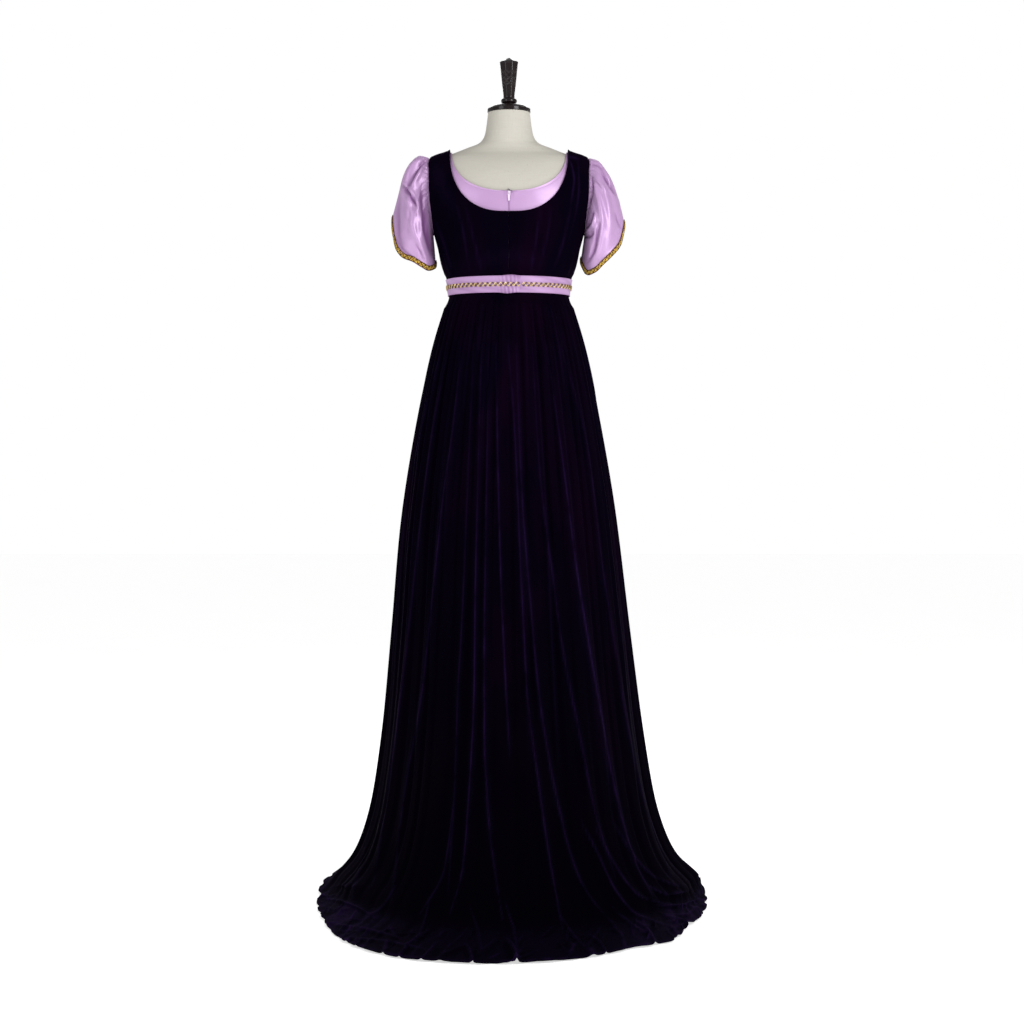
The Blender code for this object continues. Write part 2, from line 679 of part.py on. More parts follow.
def box_points(low, high):
    return [
        Vector((x, y, z))
        for z in (low[2], high[2])
        for x, y in ((low[0], low[1]), (high[0], low[1]), (high[0], high[1]), (low[0], high[1]))
    ]


BOX_FACES = ((0, 3, 2, 1), (4, 5, 6, 7), (0, 1, 5, 4), (1, 2, 6, 5), (2, 3, 7, 6), (3, 0, 4, 7))


def union(base, others):
    for other in others:
        joined = base.modifiers.new("joined", "BOOLEAN")
        joined.operation = "UNION"
        joined.object = other
        other.hide_render = True
        other.display_type = "WIRE"


def zip_pull(finish):
    """The zip's slider with its bail, and the pull tab that hangs from the bail and swings on it.

    Both are built flat, with z up the back and y out of it, and then laid on the satin at centre back.
    """
    run = run_at(SLIDER_HEIGHT)
    seat = off_body(math.pi / 2, run, SATIN_OFF + SATIN_WALL)
    out = surface_normal(body_point, math.pi / 2, run, 0.02, 0.002)
    out.x = 0
    out.normalize()
    up = Vector((1, 0, 0)).cross(out)
    place = Matrix((
        (1, out.x, up.x, 0.0), (0, out.y, up.y, seat.y), (0, out.z, up.z, seat.z), (0, 0, 0, 1),
    ))
    half_width, height, half_length = SLIDER_HALF
    base_high = SEAM_GAP + height
    bridge_low, bridge_high = base_high + BAIL_ROOM, base_high + BAIL_ROOM + BAIL_WALL
    sunk = base_high - BAIL_WALL / 2
    leg_in, leg_out = BAIL_LEG
    pieces = (
        ("zip_slider", (-half_width, SEAM_GAP, -half_length), (half_width, base_high, half_length)),
        ("bail_top", (-BAIL_HALF_WIDTH, sunk, leg_in), (BAIL_HALF_WIDTH, bridge_high, leg_out)),
        ("bail_foot", (-BAIL_HALF_WIDTH, sunk, -leg_out), (BAIL_HALF_WIDTH, bridge_high, -leg_in)),
        ("bail_bridge", (-BAIL_HALF_WIDTH, bridge_low, -0.5 * (leg_in + leg_out)),
         (BAIL_HALF_WIDTH, bridge_high, 0.5 * (leg_in + leg_out))),
    )
    made = [
        solid(name, [place @ p for p in box_points(low, high)], BOX_FACES, finish, smooth=False)
        for name, low, high in pieces
    ]
    union(made[0], made[1:])

    pivot = Vector((0, base_high + BAIL_ROOM / 2, 0))
    half_wall = PULL_WALL / 2
    # The tab hangs from its pivot at z = 0: a bar that goes through the bail, a window, and a tapered end.
    outline = [(-PULL_HALF_WIDTH, half_wall), (PULL_HALF_WIDTH, half_wall)]
    outline += [(PULL_HALF_WIDTH, -0.0060), (0.0020, -PULL_LENGTH + 0.0020), (0.0010, -PULL_LENGTH)]
    outline += [(-x, z) for x, z in outline[:1:-1]]
    window_half, window_low = 0.0014, -0.0040
    window = [
        (-window_half, -half_wall), (window_half, -half_wall), (window_half, window_low), (-window_half, window_low),
    ]
    tab = plate(outline, half_wall, "zip_pull", finish)
    hole = plate(window, 4 * half_wall, "zip_pull_window", finish)
    hole.hide_render = True
    hole.display_type = "WIRE"
    cut = tab.modifiers.new("window", "BOOLEAN")
    cut.operation = "DIFFERENCE"
    cut.object = hole
    hinge = bpy.data.objects.new("zip_hinge", None)
    bpy.context.scene.collection.objects.link(hinge)
    hinge.matrix_world = place @ Matrix.Translation(pivot)
    for piece in (tab, hole):
        piece.parent = hinge


def plate(outline, half_wall, name, finish):
    """A flat plate with that outline in x and z, centred on y = 0."""
    count = len(outline)
    points = [Vector((x, y, z)) for y in (-half_wall, half_wall) for x, z in outline]
    faces = [tuple(range(count)), tuple(range(2 * count - 1, count - 1, -1))]
    faces += [(k, (k + 1) % count, (k + 1) % count + count, k + count) for k in range(count)]
    return solid(name, points, faces, finish, smooth=False)


def main():
    for old in list(bpy.data.objects):
        bpy.data.objects.remove(old)
    satin = material("lilac_satin", (0.520, 0.270, 0.640), 0.34)
    velvet = material("purple_velvet", (0.012, 0.003, 0.030), 0.85, sheen=0.6)
    gold = material("gold_braid", (0.480, 0.270, 0.060), 0.38, metallic=0.8)
    linen = material("linen_cover", (0.610, 0.570, 0.490), 0.90)
    wood = material("dark_wood", (0.022, 0.012, 0.012), 0.30)
    metal = material("black_metal", (0.030, 0.030, 0.032), 0.45, metallic=0.6)
    nylon = material("lilac_enamel", (0.640, 0.400, 0.740), 0.30)

    dress_form(linen, wood, metal)
    bodice("dress", SATIN_NECK, SATIN_OFF, SATIN_WALL, 0.0, satin, 9, 16, 6, 0, 0.0)
    under_skirt(satin)
    sleeve(1, "left", LEFT, satin, gold)
    sleeve(-1, "right", RIGHT, satin, gold)
    zip_pull(nylon)
    bodice("gown", VELVET_NECK, VELVET_OFF, VELVET_WALL, VELVET_ARMHOLE_EASE, velvet, 11, 16, 6,
           BODICE_GATHERS, BODICE_GATHER_DEPTH)
    velvet_skirt(velvet)
    belt(satin, gold)


main()
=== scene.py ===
import math

import bpy
import numpy as np
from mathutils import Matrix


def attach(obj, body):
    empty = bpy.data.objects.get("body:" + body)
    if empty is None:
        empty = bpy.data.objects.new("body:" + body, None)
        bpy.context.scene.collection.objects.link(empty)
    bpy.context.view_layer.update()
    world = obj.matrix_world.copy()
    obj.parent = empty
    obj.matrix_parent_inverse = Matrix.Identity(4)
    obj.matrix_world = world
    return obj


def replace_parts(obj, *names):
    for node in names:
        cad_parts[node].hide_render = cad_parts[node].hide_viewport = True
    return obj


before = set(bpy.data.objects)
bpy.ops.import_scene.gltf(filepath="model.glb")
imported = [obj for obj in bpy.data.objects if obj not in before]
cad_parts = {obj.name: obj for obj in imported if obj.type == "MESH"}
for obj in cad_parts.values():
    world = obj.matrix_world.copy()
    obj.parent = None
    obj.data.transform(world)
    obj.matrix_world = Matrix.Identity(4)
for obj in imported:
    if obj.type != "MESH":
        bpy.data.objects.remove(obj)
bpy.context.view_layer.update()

# The dress form's body: papier-mache padded up to the gown's size and covered in off-white linen, with a
# straight neck. Its sections are read along its side profile, and every cloth that lies on it is placed from
# this surface.
GOWN = "gown_on_form"
FORM_EASE = 0.0015
NECK_TOP = 1.7000
FORM_BOTTOM = 0.8800
BODY_COLUMNS = ("height", "half_width", "back", "front", "square")
BODY = (
    (FORM_BOTTOM, 0.1600, 0.118, 0.100, 2.20),
    (0.9600, 0.1740, 0.128, 0.108, 2.20),
    (1.0600, 0.1630, 0.116, 0.104, 2.20),
    (1.1400, 0.1340, 0.094, 0.094, 2.10),
    (1.1950, 0.1225, 0.086, 0.090, 2.10),
    (1.2500, 0.1225, 0.090, 0.093, 2.10),
    (1.3000, 0.1280, 0.098, 0.100, 2.15),
    (1.3300, 0.1325, 0.103, 0.110, 2.20),
    (1.3650, 0.1435, 0.107, 0.128, 2.20),
    (1.3950, 0.1500, 0.110, 0.138, 2.20),
    (1.4300, 0.1600, 0.112, 0.139, 2.20),
    (1.4700, 0.1695, 0.112, 0.128, 2.20),
    (1.5100, 0.1770, 0.109, 0.110, 2.20),
    (1.5500, 0.1795, 0.099, 0.090, 2.10),
    (1.5800, 0.1785, 0.084, 0.070, 2.00),
    (1.5960, 0.1690, 0.071, 0.057, 2.00),
    (1.6080, 0.1310, 0.060, 0.048, 2.00),
    (1.6210, 0.0970, 0.054, 0.045, 2.00),
    (1.6340, 0.0660, 0.052, 0.046, 2.00),
    (1.6500, 0.0555, 0.052, 0.048, 2.00),
    (1.6750, 0.0510, 0.050, 0.048, 2.00),
    (NECK_TOP, 0.0480, 0.048, 0.048, 2.00),
)


def curve_through(xs, ys):
    """A smooth line through the points that never overshoots them."""
    xs = np.asarray(xs, float)
    ys = np.asarray(ys, float)
    steps = np.diff(xs)
    slopes = np.diff(ys) / steps
    tilts = np.zeros_like(ys)
    tilts[0], tilts[-1] = slopes[0], slopes[-1]
    for k in range(1, len(slopes)):
        if slopes[k - 1] * slopes[k] > 0:
            tilts[k] = 2 * slopes[k - 1] * slopes[k] / (slopes[k - 1] + slopes[k])

    def value(x):
        x = np.clip(x, xs[0], xs[-1])
        k = np.clip(np.searchsorted(xs, x) - 1, 0, len(steps) - 1)
        h = steps[k]
        t = (x - xs[k]) / h
        return (
            (1 + 2 * t) * (1 - t) ** 2 * ys[k]
            + t * (1 - t) ** 2 * h * tilts[k]
            + t * t * (3 - 2 * t) * ys[k + 1]
            + t * t * (t - 1) * h * tilts[k + 1]
        )

    return value


def oval(angle, half_width, front, back, centre, square):
    """A point on a rounded section: 0 is the wearer's left side, and a quarter turn is the back."""
    c, s = np.cos(angle), np.sin(angle)
    reach = np.where(s >= 0, back - centre, front + centre)
    x = half_width * np.sign(c) * np.abs(c) ** (2 / square)
    y = centre + reach * np.sign(s) * np.abs(s) ** (2 / square)
    return x, y


RUNS = [0.0]
for lower, upper in zip(BODY, BODY[1:]):
    RUNS.append(RUNS[-1] + math.hypot(upper[0] - lower[0], upper[1] - lower[1]))
BODY_AT = {name: curve_through(RUNS, [row[k] for row in BODY]) for k, name in enumerate(BODY_COLUMNS)}
FINE_RUNS = np.linspace(0, RUNS[-1], 6001)
FINE_HEIGHTS = BODY_AT["height"](FINE_RUNS)


def run_at(height):
    return np.interp(height, FINE_HEIGHTS, FINE_RUNS)


def unit(vectors):
    return vectors / np.maximum(np.linalg.norm(vectors, axis=-1, keepdims=True), 1e-12)


def smooth(share):
    """From 0 to 1 with a soft start and a soft end."""
    share = np.clip(share, 0, 1)
    return share * share * (3 - 2 * share)


def places(x, y, z):
    return np.stack(np.broadcast_arrays(x, y, z), axis=-1)


def round_turn(count):
    return np.linspace(0, 2 * math.pi, count, endpoint=False)


def body_point(angle, run):
    half_width, back, front, square = (BODY_AT[n](run) for n in ("half_width", "back", "front", "square"))
    x, y = oval(angle, half_width, front, back, 0.0, square)
    return places(x, y, BODY_AT["height"](run))


def off_body(angle, run, off):
    """The form's surface moved out along its normal."""
    inside = np.clip(run, 0.002, RUNS[-1] - 0.002)
    along = body_point(angle + 0.02, inside) - body_point(angle - 0.02, inside)
    up = body_point(angle, inside + 0.002) - body_point(angle, inside - 0.002)
    return body_point(angle, run) + np.asarray(off)[..., None] * unit(np.cross(along, up))


def put_mesh(name, points, faces, finish, sharp=50, crest=None):
    """A piece from its points and faces, with its finish. Its optional per-point values are painted light: a
    painted highlight on the crests of velvet folds and painted shade in the satin's creases, seam and
    puckers.
    """
    mesh = bpy.data.meshes.new(name)
    mesh.from_pydata(np.asarray(points).reshape(-1, 3).tolist(), [], [list(face) for face in faces])
    if crest is not None:
        marks = mesh.attributes.new("crest", "FLOAT", "POINT")
        marks.data.foreach_set("value", np.asarray(crest, np.float32))
    mesh.materials.append(finish.material)
    mesh.shade_smooth()
    mesh.set_sharp_from_angle(angle=math.radians(sharp))
    piece = bpy.data.objects.new(name, mesh)
    bpy.context.scene.collection.objects.link(piece)
    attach(piece, GOWN)
    return piece


def grid_faces(rows, columns, round_it):
    row, column = np.meshgrid(np.arange(rows - 1), np.arange(columns - (not round_it)), indexing="ij")
    a = row * columns + column
    b = row * columns + (column + 1) % columns
    return np.stack([a, b, b + columns, a + columns], axis=-1).reshape(-1, 4)


def closed_grid(name, node, points, finish):
    """A turned or lofted solid: a round grid of points, with its two end rings filled."""
    rows, columns = points.shape[:2]
    faces = grid_faces(rows, columns, True).tolist()
    faces.append(list(range(columns))[::-1])
    faces.append(list(range((rows - 1) * columns, rows * columns)))
    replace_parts(put_mesh(name, points, faces, finish), node)


class Socket:
    """A shader value that can be reckoned with: each operator adds a Math node."""

    def __init__(self, finish, link):
        self.finish = finish
        self.link = link

    def math(self, operation, *values):
        return self.finish.node("ShaderNodeMath", {"operation": operation}, values)

    def __add__(self, other):
        return self.math("ADD", self, other)

    def __sub__(self, other):
        return self.math("SUBTRACT", self, other)

    def __rsub__(self, other):
        return self.math("SUBTRACT", other, self)

    def __mul__(self, other):
        return self.math("MULTIPLY", self, other)

    __radd__ = __add__
    __rmul__ = __mul__


class Finish:
    """A material and its slot: a Principled shader, and the nodes of what changes over its surface."""

    def __init__(self, name, slot=None, **constants):
        self.slot = slot or name
        self.material = bpy.data.materials.new(name)
        self.material.use_nodes = True
        self.tree = self.material.node_tree
        self.shader = self.tree.nodes["Principled BSDF"]
        self.finish(**constants)

    def put(self, node, values):
        pairs = values.items() if isinstance(values, dict) else enumerate(values)
        for key, value in pairs:
            if isinstance(value, Socket):
                self.tree.links.new(value.link, node.inputs[key])
            elif node.inputs[key].type == "RGBA":
                node.inputs[key].default_value = (*value, 1.0)
            else:
                node.inputs[key].default_value = value

    def node(self, kind, settings=None, values=(), out=0):
        """A node of that kind: its settings first, then the values or links of its sockets."""
        node = self.tree.nodes.new(kind)
        for key, value in (settings or {}).items():
            if key == "stops":
                node.color_ramp.elements[1].position = value[1][0]
                for element, (position, grey) in zip(node.color_ramp.elements, value):
                    element.position = position
                    element.color = (grey, grey, grey, 1.0)
            else:
                setattr(node, key, value)
        self.put(node, values)
        return Socket(self, node.outputs[out])

    def place(self, stretch=(1, 1, 1)):
        where = self.node("ShaderNodeTexCoord", out="Object")
        return self.node("ShaderNodeVectorMath", {"operation": "MULTIPLY"}, (where, stretch))

    def noise(self, scale, detail, stretch=(1, 1, 1)):
        values = {"Vector": self.place(stretch), "Scale": scale, "Detail": detail}
        return self.node("ShaderNodeTexNoise", None, values)

    def crest(self):
        return self.node("ShaderNodeAttribute", {"attribute_name": "crest"}, out="Fac")

    def ramp(self, value, low, high):
        """0 up to low and 1 from high on."""
        return self.node("ShaderNodeValToRGB", {"stops": ((low, 0.0), (high, 1.0))}, (value,))

    def mix(self, share, first, second):
        return self.node("ShaderNodeMix", {"data_type": "RGBA"}, {0: share, 6: first, 7: second}, out=2)

    def bump(self, height, distance, strength=1.0):
        values = {"Height": height, "Distance": distance, "Strength": strength}
        return self.node("ShaderNodeBump", None, values)

    def finish(self, **inputs):
        self.put(self.shader, {key.replace("_", " "): value for key, value in inputs.items()})
        return self


def linen_finish():
    """Plain-woven linen: threads half a millimetre apart, thicker slubs each way, and a few brown specks."""
    linen = Finish("linen_cover", Specular_IOR_Level=0.15)
    warp = linen.noise(420, 3, (1, 1, 0.06))
    weft = linen.noise(460, 3, (0.08, 0.08, 1))
    slub = linen.ramp(linen.noise(150, 1, (0.12, 0.12, 1)), 0.62, 0.80)
    speck = linen.ramp(linen.noise(300, 1), 0.74, 0.80)
    soiling = linen.noise(11, 3)
    weave = warp * 0.5 + weft * 0.5
    cloth_colour = linen.mix(weave, (0.520, 0.497, 0.436), (0.650, 0.624, 0.560))
    aged = linen.mix(soiling * 0.35, cloth_colour, (0.500, 0.480, 0.425))
    slubbed = linen.mix(slub * 0.20, aged, (0.700, 0.680, 0.620))
    return linen.finish(
        Base_Color=linen.mix(speck * 0.45, slubbed, (0.260, 0.210, 0.160)),
        Roughness=0.80 + 0.16 * weave,
        Normal=linen.bump(weave + slub * 0.4, 0.0005, 0.6),
    )


linen = linen_finish()
angles = round_turn(96)
runs = np.linspace(0, RUNS[-1], 160)
body_skin = off_body(angles[None, :], runs[:, None], -FORM_EASE)
body_skin[0, :, 2] = FORM_BOTTOM
body_skin[-1, :, 2] = NECK_TOP
closed_grid("form_linen_cover", "form_body", body_skin, linen)


# The neck cap and its handle: dark stained and varnished wood. The cap is a shallow turned dome with a flat
# band, the handle is turned below and cut above into eight flats that swell out to a low pointed crown, with
# a band of zigzag grooves carved round them. The two are pinned to the neck.
CAP_BOTTOM = NECK_TOP + 0.0003
HANDLE_BOTTOM = CAP_BOTTOM + 0.0208
CAP = (
    (0.0440, 0.0000), (0.0478, 0.0004), (0.0484, 0.0016), (0.0484, 0.0070), (0.0478, 0.0082),
    (0.0462, 0.0086), (0.0446, 0.0100), (0.0405, 0.0130), (0.0330, 0.0158), (0.0240, 0.0180),
    (0.0190, 0.0192), (0.0170, 0.0203),
)
# Radius, height, and how far the flats are cut.
HANDLE = (
    (0.0120, 0.0000, 0.0), (0.0158, 0.0008, 0.0), (0.0176, 0.0034, 0.0), (0.0178, 0.0060, 0.0),
    (0.0170, 0.0086, 0.0), (0.0146, 0.0108, 0.0), (0.0128, 0.0122, 0.0), (0.0128, 0.0146, 0.3),
    (0.0138, 0.0220, 1.0), (0.0152, 0.0340, 1.0), (0.0166, 0.0460, 1.0), (0.0176, 0.0560, 1.0),
    (0.0194, 0.0720, 1.0), (0.0212, 0.0880, 1.0), (0.0216, 0.0905, 1.0), (0.0207, 0.0918, 1.0),
    (0.0110, 0.0968, 1.0), (0.0030, 0.1008, 0.5),
)
FLATS = 8
ZIGZAG_START, ZIGZAG_END, ZIGZAG_PITCH = 0.0360, 0.0690, 0.0110
ZIGZAG_DEPTH = 0.0012


def hill(away):
    """1 in the middle and falling off beside it."""
    return np.exp(-away ** 2)


def wood_finish():
    """Close-grained hardwood under a dark stain, with varnish that has worn thin in places."""
    wood = Finish("dark_wood", Coat_Roughness=0.16, Specular_IOR_Level=0.18)
    grain = wood.noise(260, 4, (1, 1, 0.08))
    wear = wood.ramp(wood.noise(60, 3), 0.52, 0.75)
    stain = wood.mix(grain, (0.0040, 0.0022, 0.0028), (0.0160, 0.0085, 0.0095))
    return wood.finish(
        Base_Color=wood.mix(wear * 0.4, stain, (0.0340, 0.0230, 0.0230)),
        Roughness=0.15 + 0.20 * wear,
        Coat_Weight=0.30 - 0.24 * wear,
        Normal=wood.bump(grain, 0.0003, 0.5),
    )


def turned_rings(profile, rows, angle):
    """Rings from bottom to top of a turned shape: the smooth line through its profile, at each angle."""
    steps = np.linspace(0, len(profile) - 1, rows)
    columns = [curve_through(range(len(profile)), column)(steps)[:, None] for column in zip(*profile)]
    return np.broadcast_arrays(*columns, angle[None, :])


def around_axis(radius, height, angle, bottom):
    return np.stack([radius * np.cos(angle), radius * np.sin(angle), height + bottom], axis=-1)


wood = wood_finish()
cap_rings = turned_rings(CAP, 67, round_turn(72))
closed_grid("neck_cap", "form_neck_cap", around_axis(*cap_rings, CAP_BOTTOM), wood)

radius, height, cut, angle = turned_rings(HANDLE, 140, round_turn(120))
flat = 2 * math.pi / FLATS
across_flat = (angle / flat + 0.5) % 1 - 0.5
radius = radius * (1 - cut + cut * np.minimum(0.976, math.cos(flat / 2) / np.cos(across_flat * flat)) / 0.976)
zigzag = np.abs((height - ZIGZAG_START) / ZIGZAG_PITCH % 1 - 0.5)
carved = (height > ZIGZAG_START) & (height < ZIGZAG_END)
radius = radius - ZIGZAG_DEPTH * carved * hill((np.abs(across_flat) - zigzag) / 0.11)
closed_grid("neck_handle", "form_handle", around_axis(radius, height, angle, HANDLE_BOTTOM), wood)


# The pole and the round foot that carry the form: black painted steel, hidden by the skirts. The solids are
# right as they are, and get a satin paint that is slightly uneven and dusty.
def metal_finish():
    metal = Finish("black_metal", Specular_IOR_Level=0.5)
    orange_peel = metal.noise(900, 2)
    dust = metal.ramp(metal.noise(26, 4), 0.48, 0.72)
    return metal.finish(
        Base_Color=metal.mix(dust * 0.35, (0.020, 0.020, 0.022), (0.090, 0.088, 0.085)),
        Roughness=0.36 + 0.30 * dust,
        Normal=metal.bump(orange_peel, 0.0002, 0.4),
    )


def coat_solids(nodes, finish):
    for node in nodes:
        materials = bpy.data.objects[node].data.materials
        materials.clear()
        materials.append(finish.material)


coat_solids(("form_pole", "form_foot"), metal_finish())


# The under-dress bodice: lilac satin, a front cut on the fold and two backs joined by an invisible zip at
# centre back. Only its neckline band shows inside the velvet's deeper scoop, with the edge turned under and
# stitched.
SEAM_GAP = 0.0003
WAIST_SEAM = 1.3110
BELT_LOW = 1.2935
BELT_HIGH = 1.3290
UNDERARM = 1.4300
SHOULDER_TIP = 1.5960
SATIN_OFF = 0.0008
SATIN_WALL = 0.0010
ARMHOLE_BACK = 0.0360
ARMHOLE_FRONT = 0.0460
SATIN_NECK = dict(half_width=0.1260, back_low=1.5120, front_low=1.4800, square=2.30)
SATIN_CORNER = 40


def satin_finish():
    """Polyester satin: long floating threads that shine, on a lilac ground with painted shade, darker purple
    where a piece marks creases, a seam or puckers."""
    satin = Finish("lilac_satin", Metallic=0.14, Specular_IOR_Level=0.85)
    threads = satin.noise(1500, 2, (1, 1, 0.05))
    cloud = satin.noise(14, 3)
    ground = satin.mix(cloud, (0.500, 0.285, 0.560), (0.585, 0.360, 0.645))
    lit = satin.mix(threads * 0.25, ground, (0.660, 0.440, 0.710))
    return satin.finish(
        # Painted shade: towards dark purple as far as the piece's per-point values say.
        Base_Color=satin.mix(satin.crest(), lit, (0.170, 0.045, 0.205)),
        Roughness=0.35 + 0.08 * cloud,
        Normal=satin.bump(threads, 0.00012, 0.35),
    )


satin = satin_finish()


def grid_normals(skin, round_it):
    """The normals of a grid of points, pointing to one side of it."""
    down = np.gradient(skin, axis=0)
    if round_it:
        around = np.roll(skin, -1, axis=1) - np.roll(skin, 1, axis=1)
    else:
        around = np.gradient(skin, axis=1)
    return unit(np.cross(down, around))


def walled(faces, edges, count):
    """The faces of one side of a cloth, the same ones on its other side, and a rim along each free edge."""
    rims = [np.stack([edge[1:], edge[:-1], edge[:-1] + count, edge[1:] + count], axis=-1) for edge in edges]
    return np.concatenate([faces, faces[:, ::-1] + count, *rims])


def cloth(name, node, skin, wall, finish, round_it=False, middle=(0.0, 0.0), crest=None):
    """Cloth from the grid of its outer face: the same face inside it, and a rim along every free edge."""
    rows, columns = skin.shape[:2]
    normal = grid_normals(skin, round_it)
    inward = (normal[..., :2] * (skin[..., :2] - np.array(middle))).sum() < 0
    if inward:
        normal = -normal
    count = rows * columns
    points = np.concatenate([skin.reshape(-1, 3), (skin - wall * normal).reshape(-1, 3)])
    number = np.arange(count).reshape(rows, columns)
    if round_it:
        edges = [np.append(edge, edge[0]) for edge in (number[0], number[-1][::-1])]
    else:
        edges = [np.concatenate([number[0], number[1:, -1], number[-1, -2::-1], number[-2::-1, 0]])]
    faces = walled(grid_faces(rows, columns, round_it), edges, count)
    if not inward:
        faces = faces[:, ::-1]
    marks = None if crest is None else np.concatenate([crest.reshape(-1), np.zeros(count)])
    piece = put_mesh(name, points, faces, finish, crest=marks)
    if node:
        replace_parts(piece, node)
    return piece


def ridge_run(half_width):
    start = np.searchsorted(FINE_RUNS, run_at(1.575))
    widths = BODY_AT["half_width"](FINE_RUNS[start:])
    return np.interp(-half_width, -widths, FINE_RUNS[start:])


def angle_at_x(x, run):
    share = np.minimum(1.0, x / BODY_AT["half_width"](run))
    return np.arccos(share ** (BODY_AT["square"](run) / 2))


def angle_at_y(y, run, side):
    share = np.minimum(1.0, y / BODY_AT["back" if side > 0 else "front"](run))
    return np.arcsin(share ** (BODY_AT["square"](run) / 2))


def armhole_place(turn, side, ease):
    """A place on the armhole: turn is 0 at the shoulder and half a turn under the arm."""
    rise = (SHOULDER_TIP - UNDERARM) / 2 + ease
    reach = (ARMHOLE_BACK if side > 0 else ARMHOLE_FRONT) + ease
    run = run_at((UNDERARM + SHOULDER_TIP) / 2 + rise * np.cos(turn))
    return angle_at_y(reach * np.abs(np.sin(turn)), run, side), run


def close_at_ends(count):
    """Shares from 0 to 1 that lie closer together towards both ends."""
    share = np.linspace(0, 1, count)
    return share - 0.72 * np.sin(2 * math.pi * share) / (2 * math.pi)


def half_panel(neck, side, ease, columns, corner, above):
    """(angle, run) over the left half of a bodice panel. The first column follows the centre and then the
    neckline, the last one the side seam and then the armhole; both turn after the first corner rows."""
    low = neck["back_low" if side > 0 else "front_low"]
    ridge = ridge_run(neck["half_width"])
    drop = BODY_AT["height"](ridge) - low

    def neckline(share):
        turn = math.pi / 2 * (1 - share)
        run = run_at(BODY_AT["height"](ridge) - drop * np.sin(turn) ** (2 / neck["square"]))
        return angle_at_x(neck["half_width"] * np.cos(turn) ** (2 / neck["square"]), run), run

    fine = np.linspace(0, 1, 400)
    steps = np.linalg.norm(np.diff(body_point(*neckline(fine)), axis=0), axis=1)
    lengths = np.concatenate([[0.0], np.cumsum(steps)])
    neck_angle, neck_run = neckline(np.interp(np.linspace(0, lengths[-1], above), lengths, fine))
    arm_angle, arm_run = armhole_place(math.pi * (1 - np.linspace(0, 1, above)), side, ease)
    up = np.arange(corner) / corner
    inner_angle = np.concatenate([np.full(corner, math.pi / 2), neck_angle])
    inner_run = np.concatenate([run_at(WAIST_SEAM) + (run_at(low) - run_at(WAIST_SEAM)) * up, neck_run])
    outer_angle = np.concatenate([np.zeros(corner), arm_angle])
    outer_run = np.concatenate([run_at(WAIST_SEAM) + (arm_run[0] - run_at(WAIST_SEAM)) * up, arm_run])
    share = close_at_ends(columns)[None, :]
    angle = inner_angle[:, None] + (outer_angle - inner_angle)[:, None] * share
    run = inner_run[:, None] + (outer_run - inner_run)[:, None] * share
    return side * angle, run


def bodice_skins(neck, off, ease, columns, corner, above, relief):
    """The outer faces of the two backs and of the front's left half. relief gives how far the cloth stands
    out, from each point's place, its share from centre to side, and its distances from neckline and
    armhole."""
    skins = {}
    for side, part in ((1, "back_left"), (-1, "front")):
        angle, run = half_panel(neck, side, ease, columns, corner, above)
        flat = body_point(angle, run)
        across = np.linalg.norm(np.diff(flat, axis=1), axis=2)
        from_inner = np.concatenate([np.zeros((len(flat), 1)), np.cumsum(across, axis=1)], axis=1)
        share = np.broadcast_to(close_at_ends(columns)[None, :], run.shape)
        at_neck = (np.arange(len(flat)) >= corner)[:, None]
        out = relief(side, flat, share, from_inner, from_inner[:, -1:] - from_inner, at_neck)
        skin = off_body(angle, run, off + out)
        skin[:, -1, 1] = np.where(np.abs(angle[:, -1]) < 1e-6, side * SEAM_GAP / 2, skin[:, -1, 1])
        skin[-1, :, 1] = side * SEAM_GAP / 2
        skin[0, :, 2] += SEAM_GAP / 2
        if side > 0:
            skin[:corner + 1, 0, 0] = SEAM_GAP / 2
        skins[part] = skin
    skins["back_right"] = skins["back_left"] * np.array((-1, 1, 1))
    return skins


def front_panel(name, node, left, corner, wall, finish):
    """The front, cut on the fold: both halves of its grid, joined along the centre up to the neckline."""
    rows, columns = left.shape[:2]
    normal = grid_normals(left, False)
    if (normal[..., 1] * left[..., 1]).sum() < 0:
        normal = -normal
    left[:corner + 1, 0, 0] = 0.0
    normal[:corner + 1, 0, 0] = 0.0
    inner = left - wall * normal
    mirror = np.array((-1, 1, 1))
    points = np.concatenate([p.reshape(-1, 3) for p in (left, inner, left * mirror, inner * mirror)])
    count = rows * columns
    number = np.arange(count).reshape(rows, columns)
    edge = np.concatenate([number[0], number[1:, -1], number[-1, -2::-1], number[corner:-1, 0][::-1]])
    half = walled(grid_faces(rows, columns, False), [edge], count)
    twin = np.arange(2 * count) + 2 * count
    for middle in (number[:corner + 1, 0], number[:corner + 1, 0] + count):
        twin[middle] = middle
    used, faces = np.unique(np.concatenate([half, twin[half][:, ::-1]]), return_inverse=True)
    piece = put_mesh(name, points[used], faces.reshape(-1, 4), finish)
    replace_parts(piece, node)
    return piece


def satin_relief(side, flat, share, from_inner, from_arm, at_neck):
    """A turned-under neckline with its stitching, and puckers beside the top of the zip."""
    x, z = np.abs(flat[..., 0]), flat[..., 2]
    out = at_neck * 0.0008 * hill(from_inner / 0.0030)
    out = out - at_neck * 0.0004 * hill((from_inner - 0.0050) / 0.0010)
    if side > 0:
        top = np.exp(-np.maximum(0, 1.5125 - z) / 0.0110)
        for place, height in ((0.0050, 0.0015), (0.0105, 0.0017), (0.0165, 0.0010)):
            out = out + height * top * hill((x - place) / 0.0016)
        out = out + 0.0004 * hill((x - 0.045 - 0.5 * (1.53 - z)) / 0.014)
    return np.maximum(out, -0.0009)


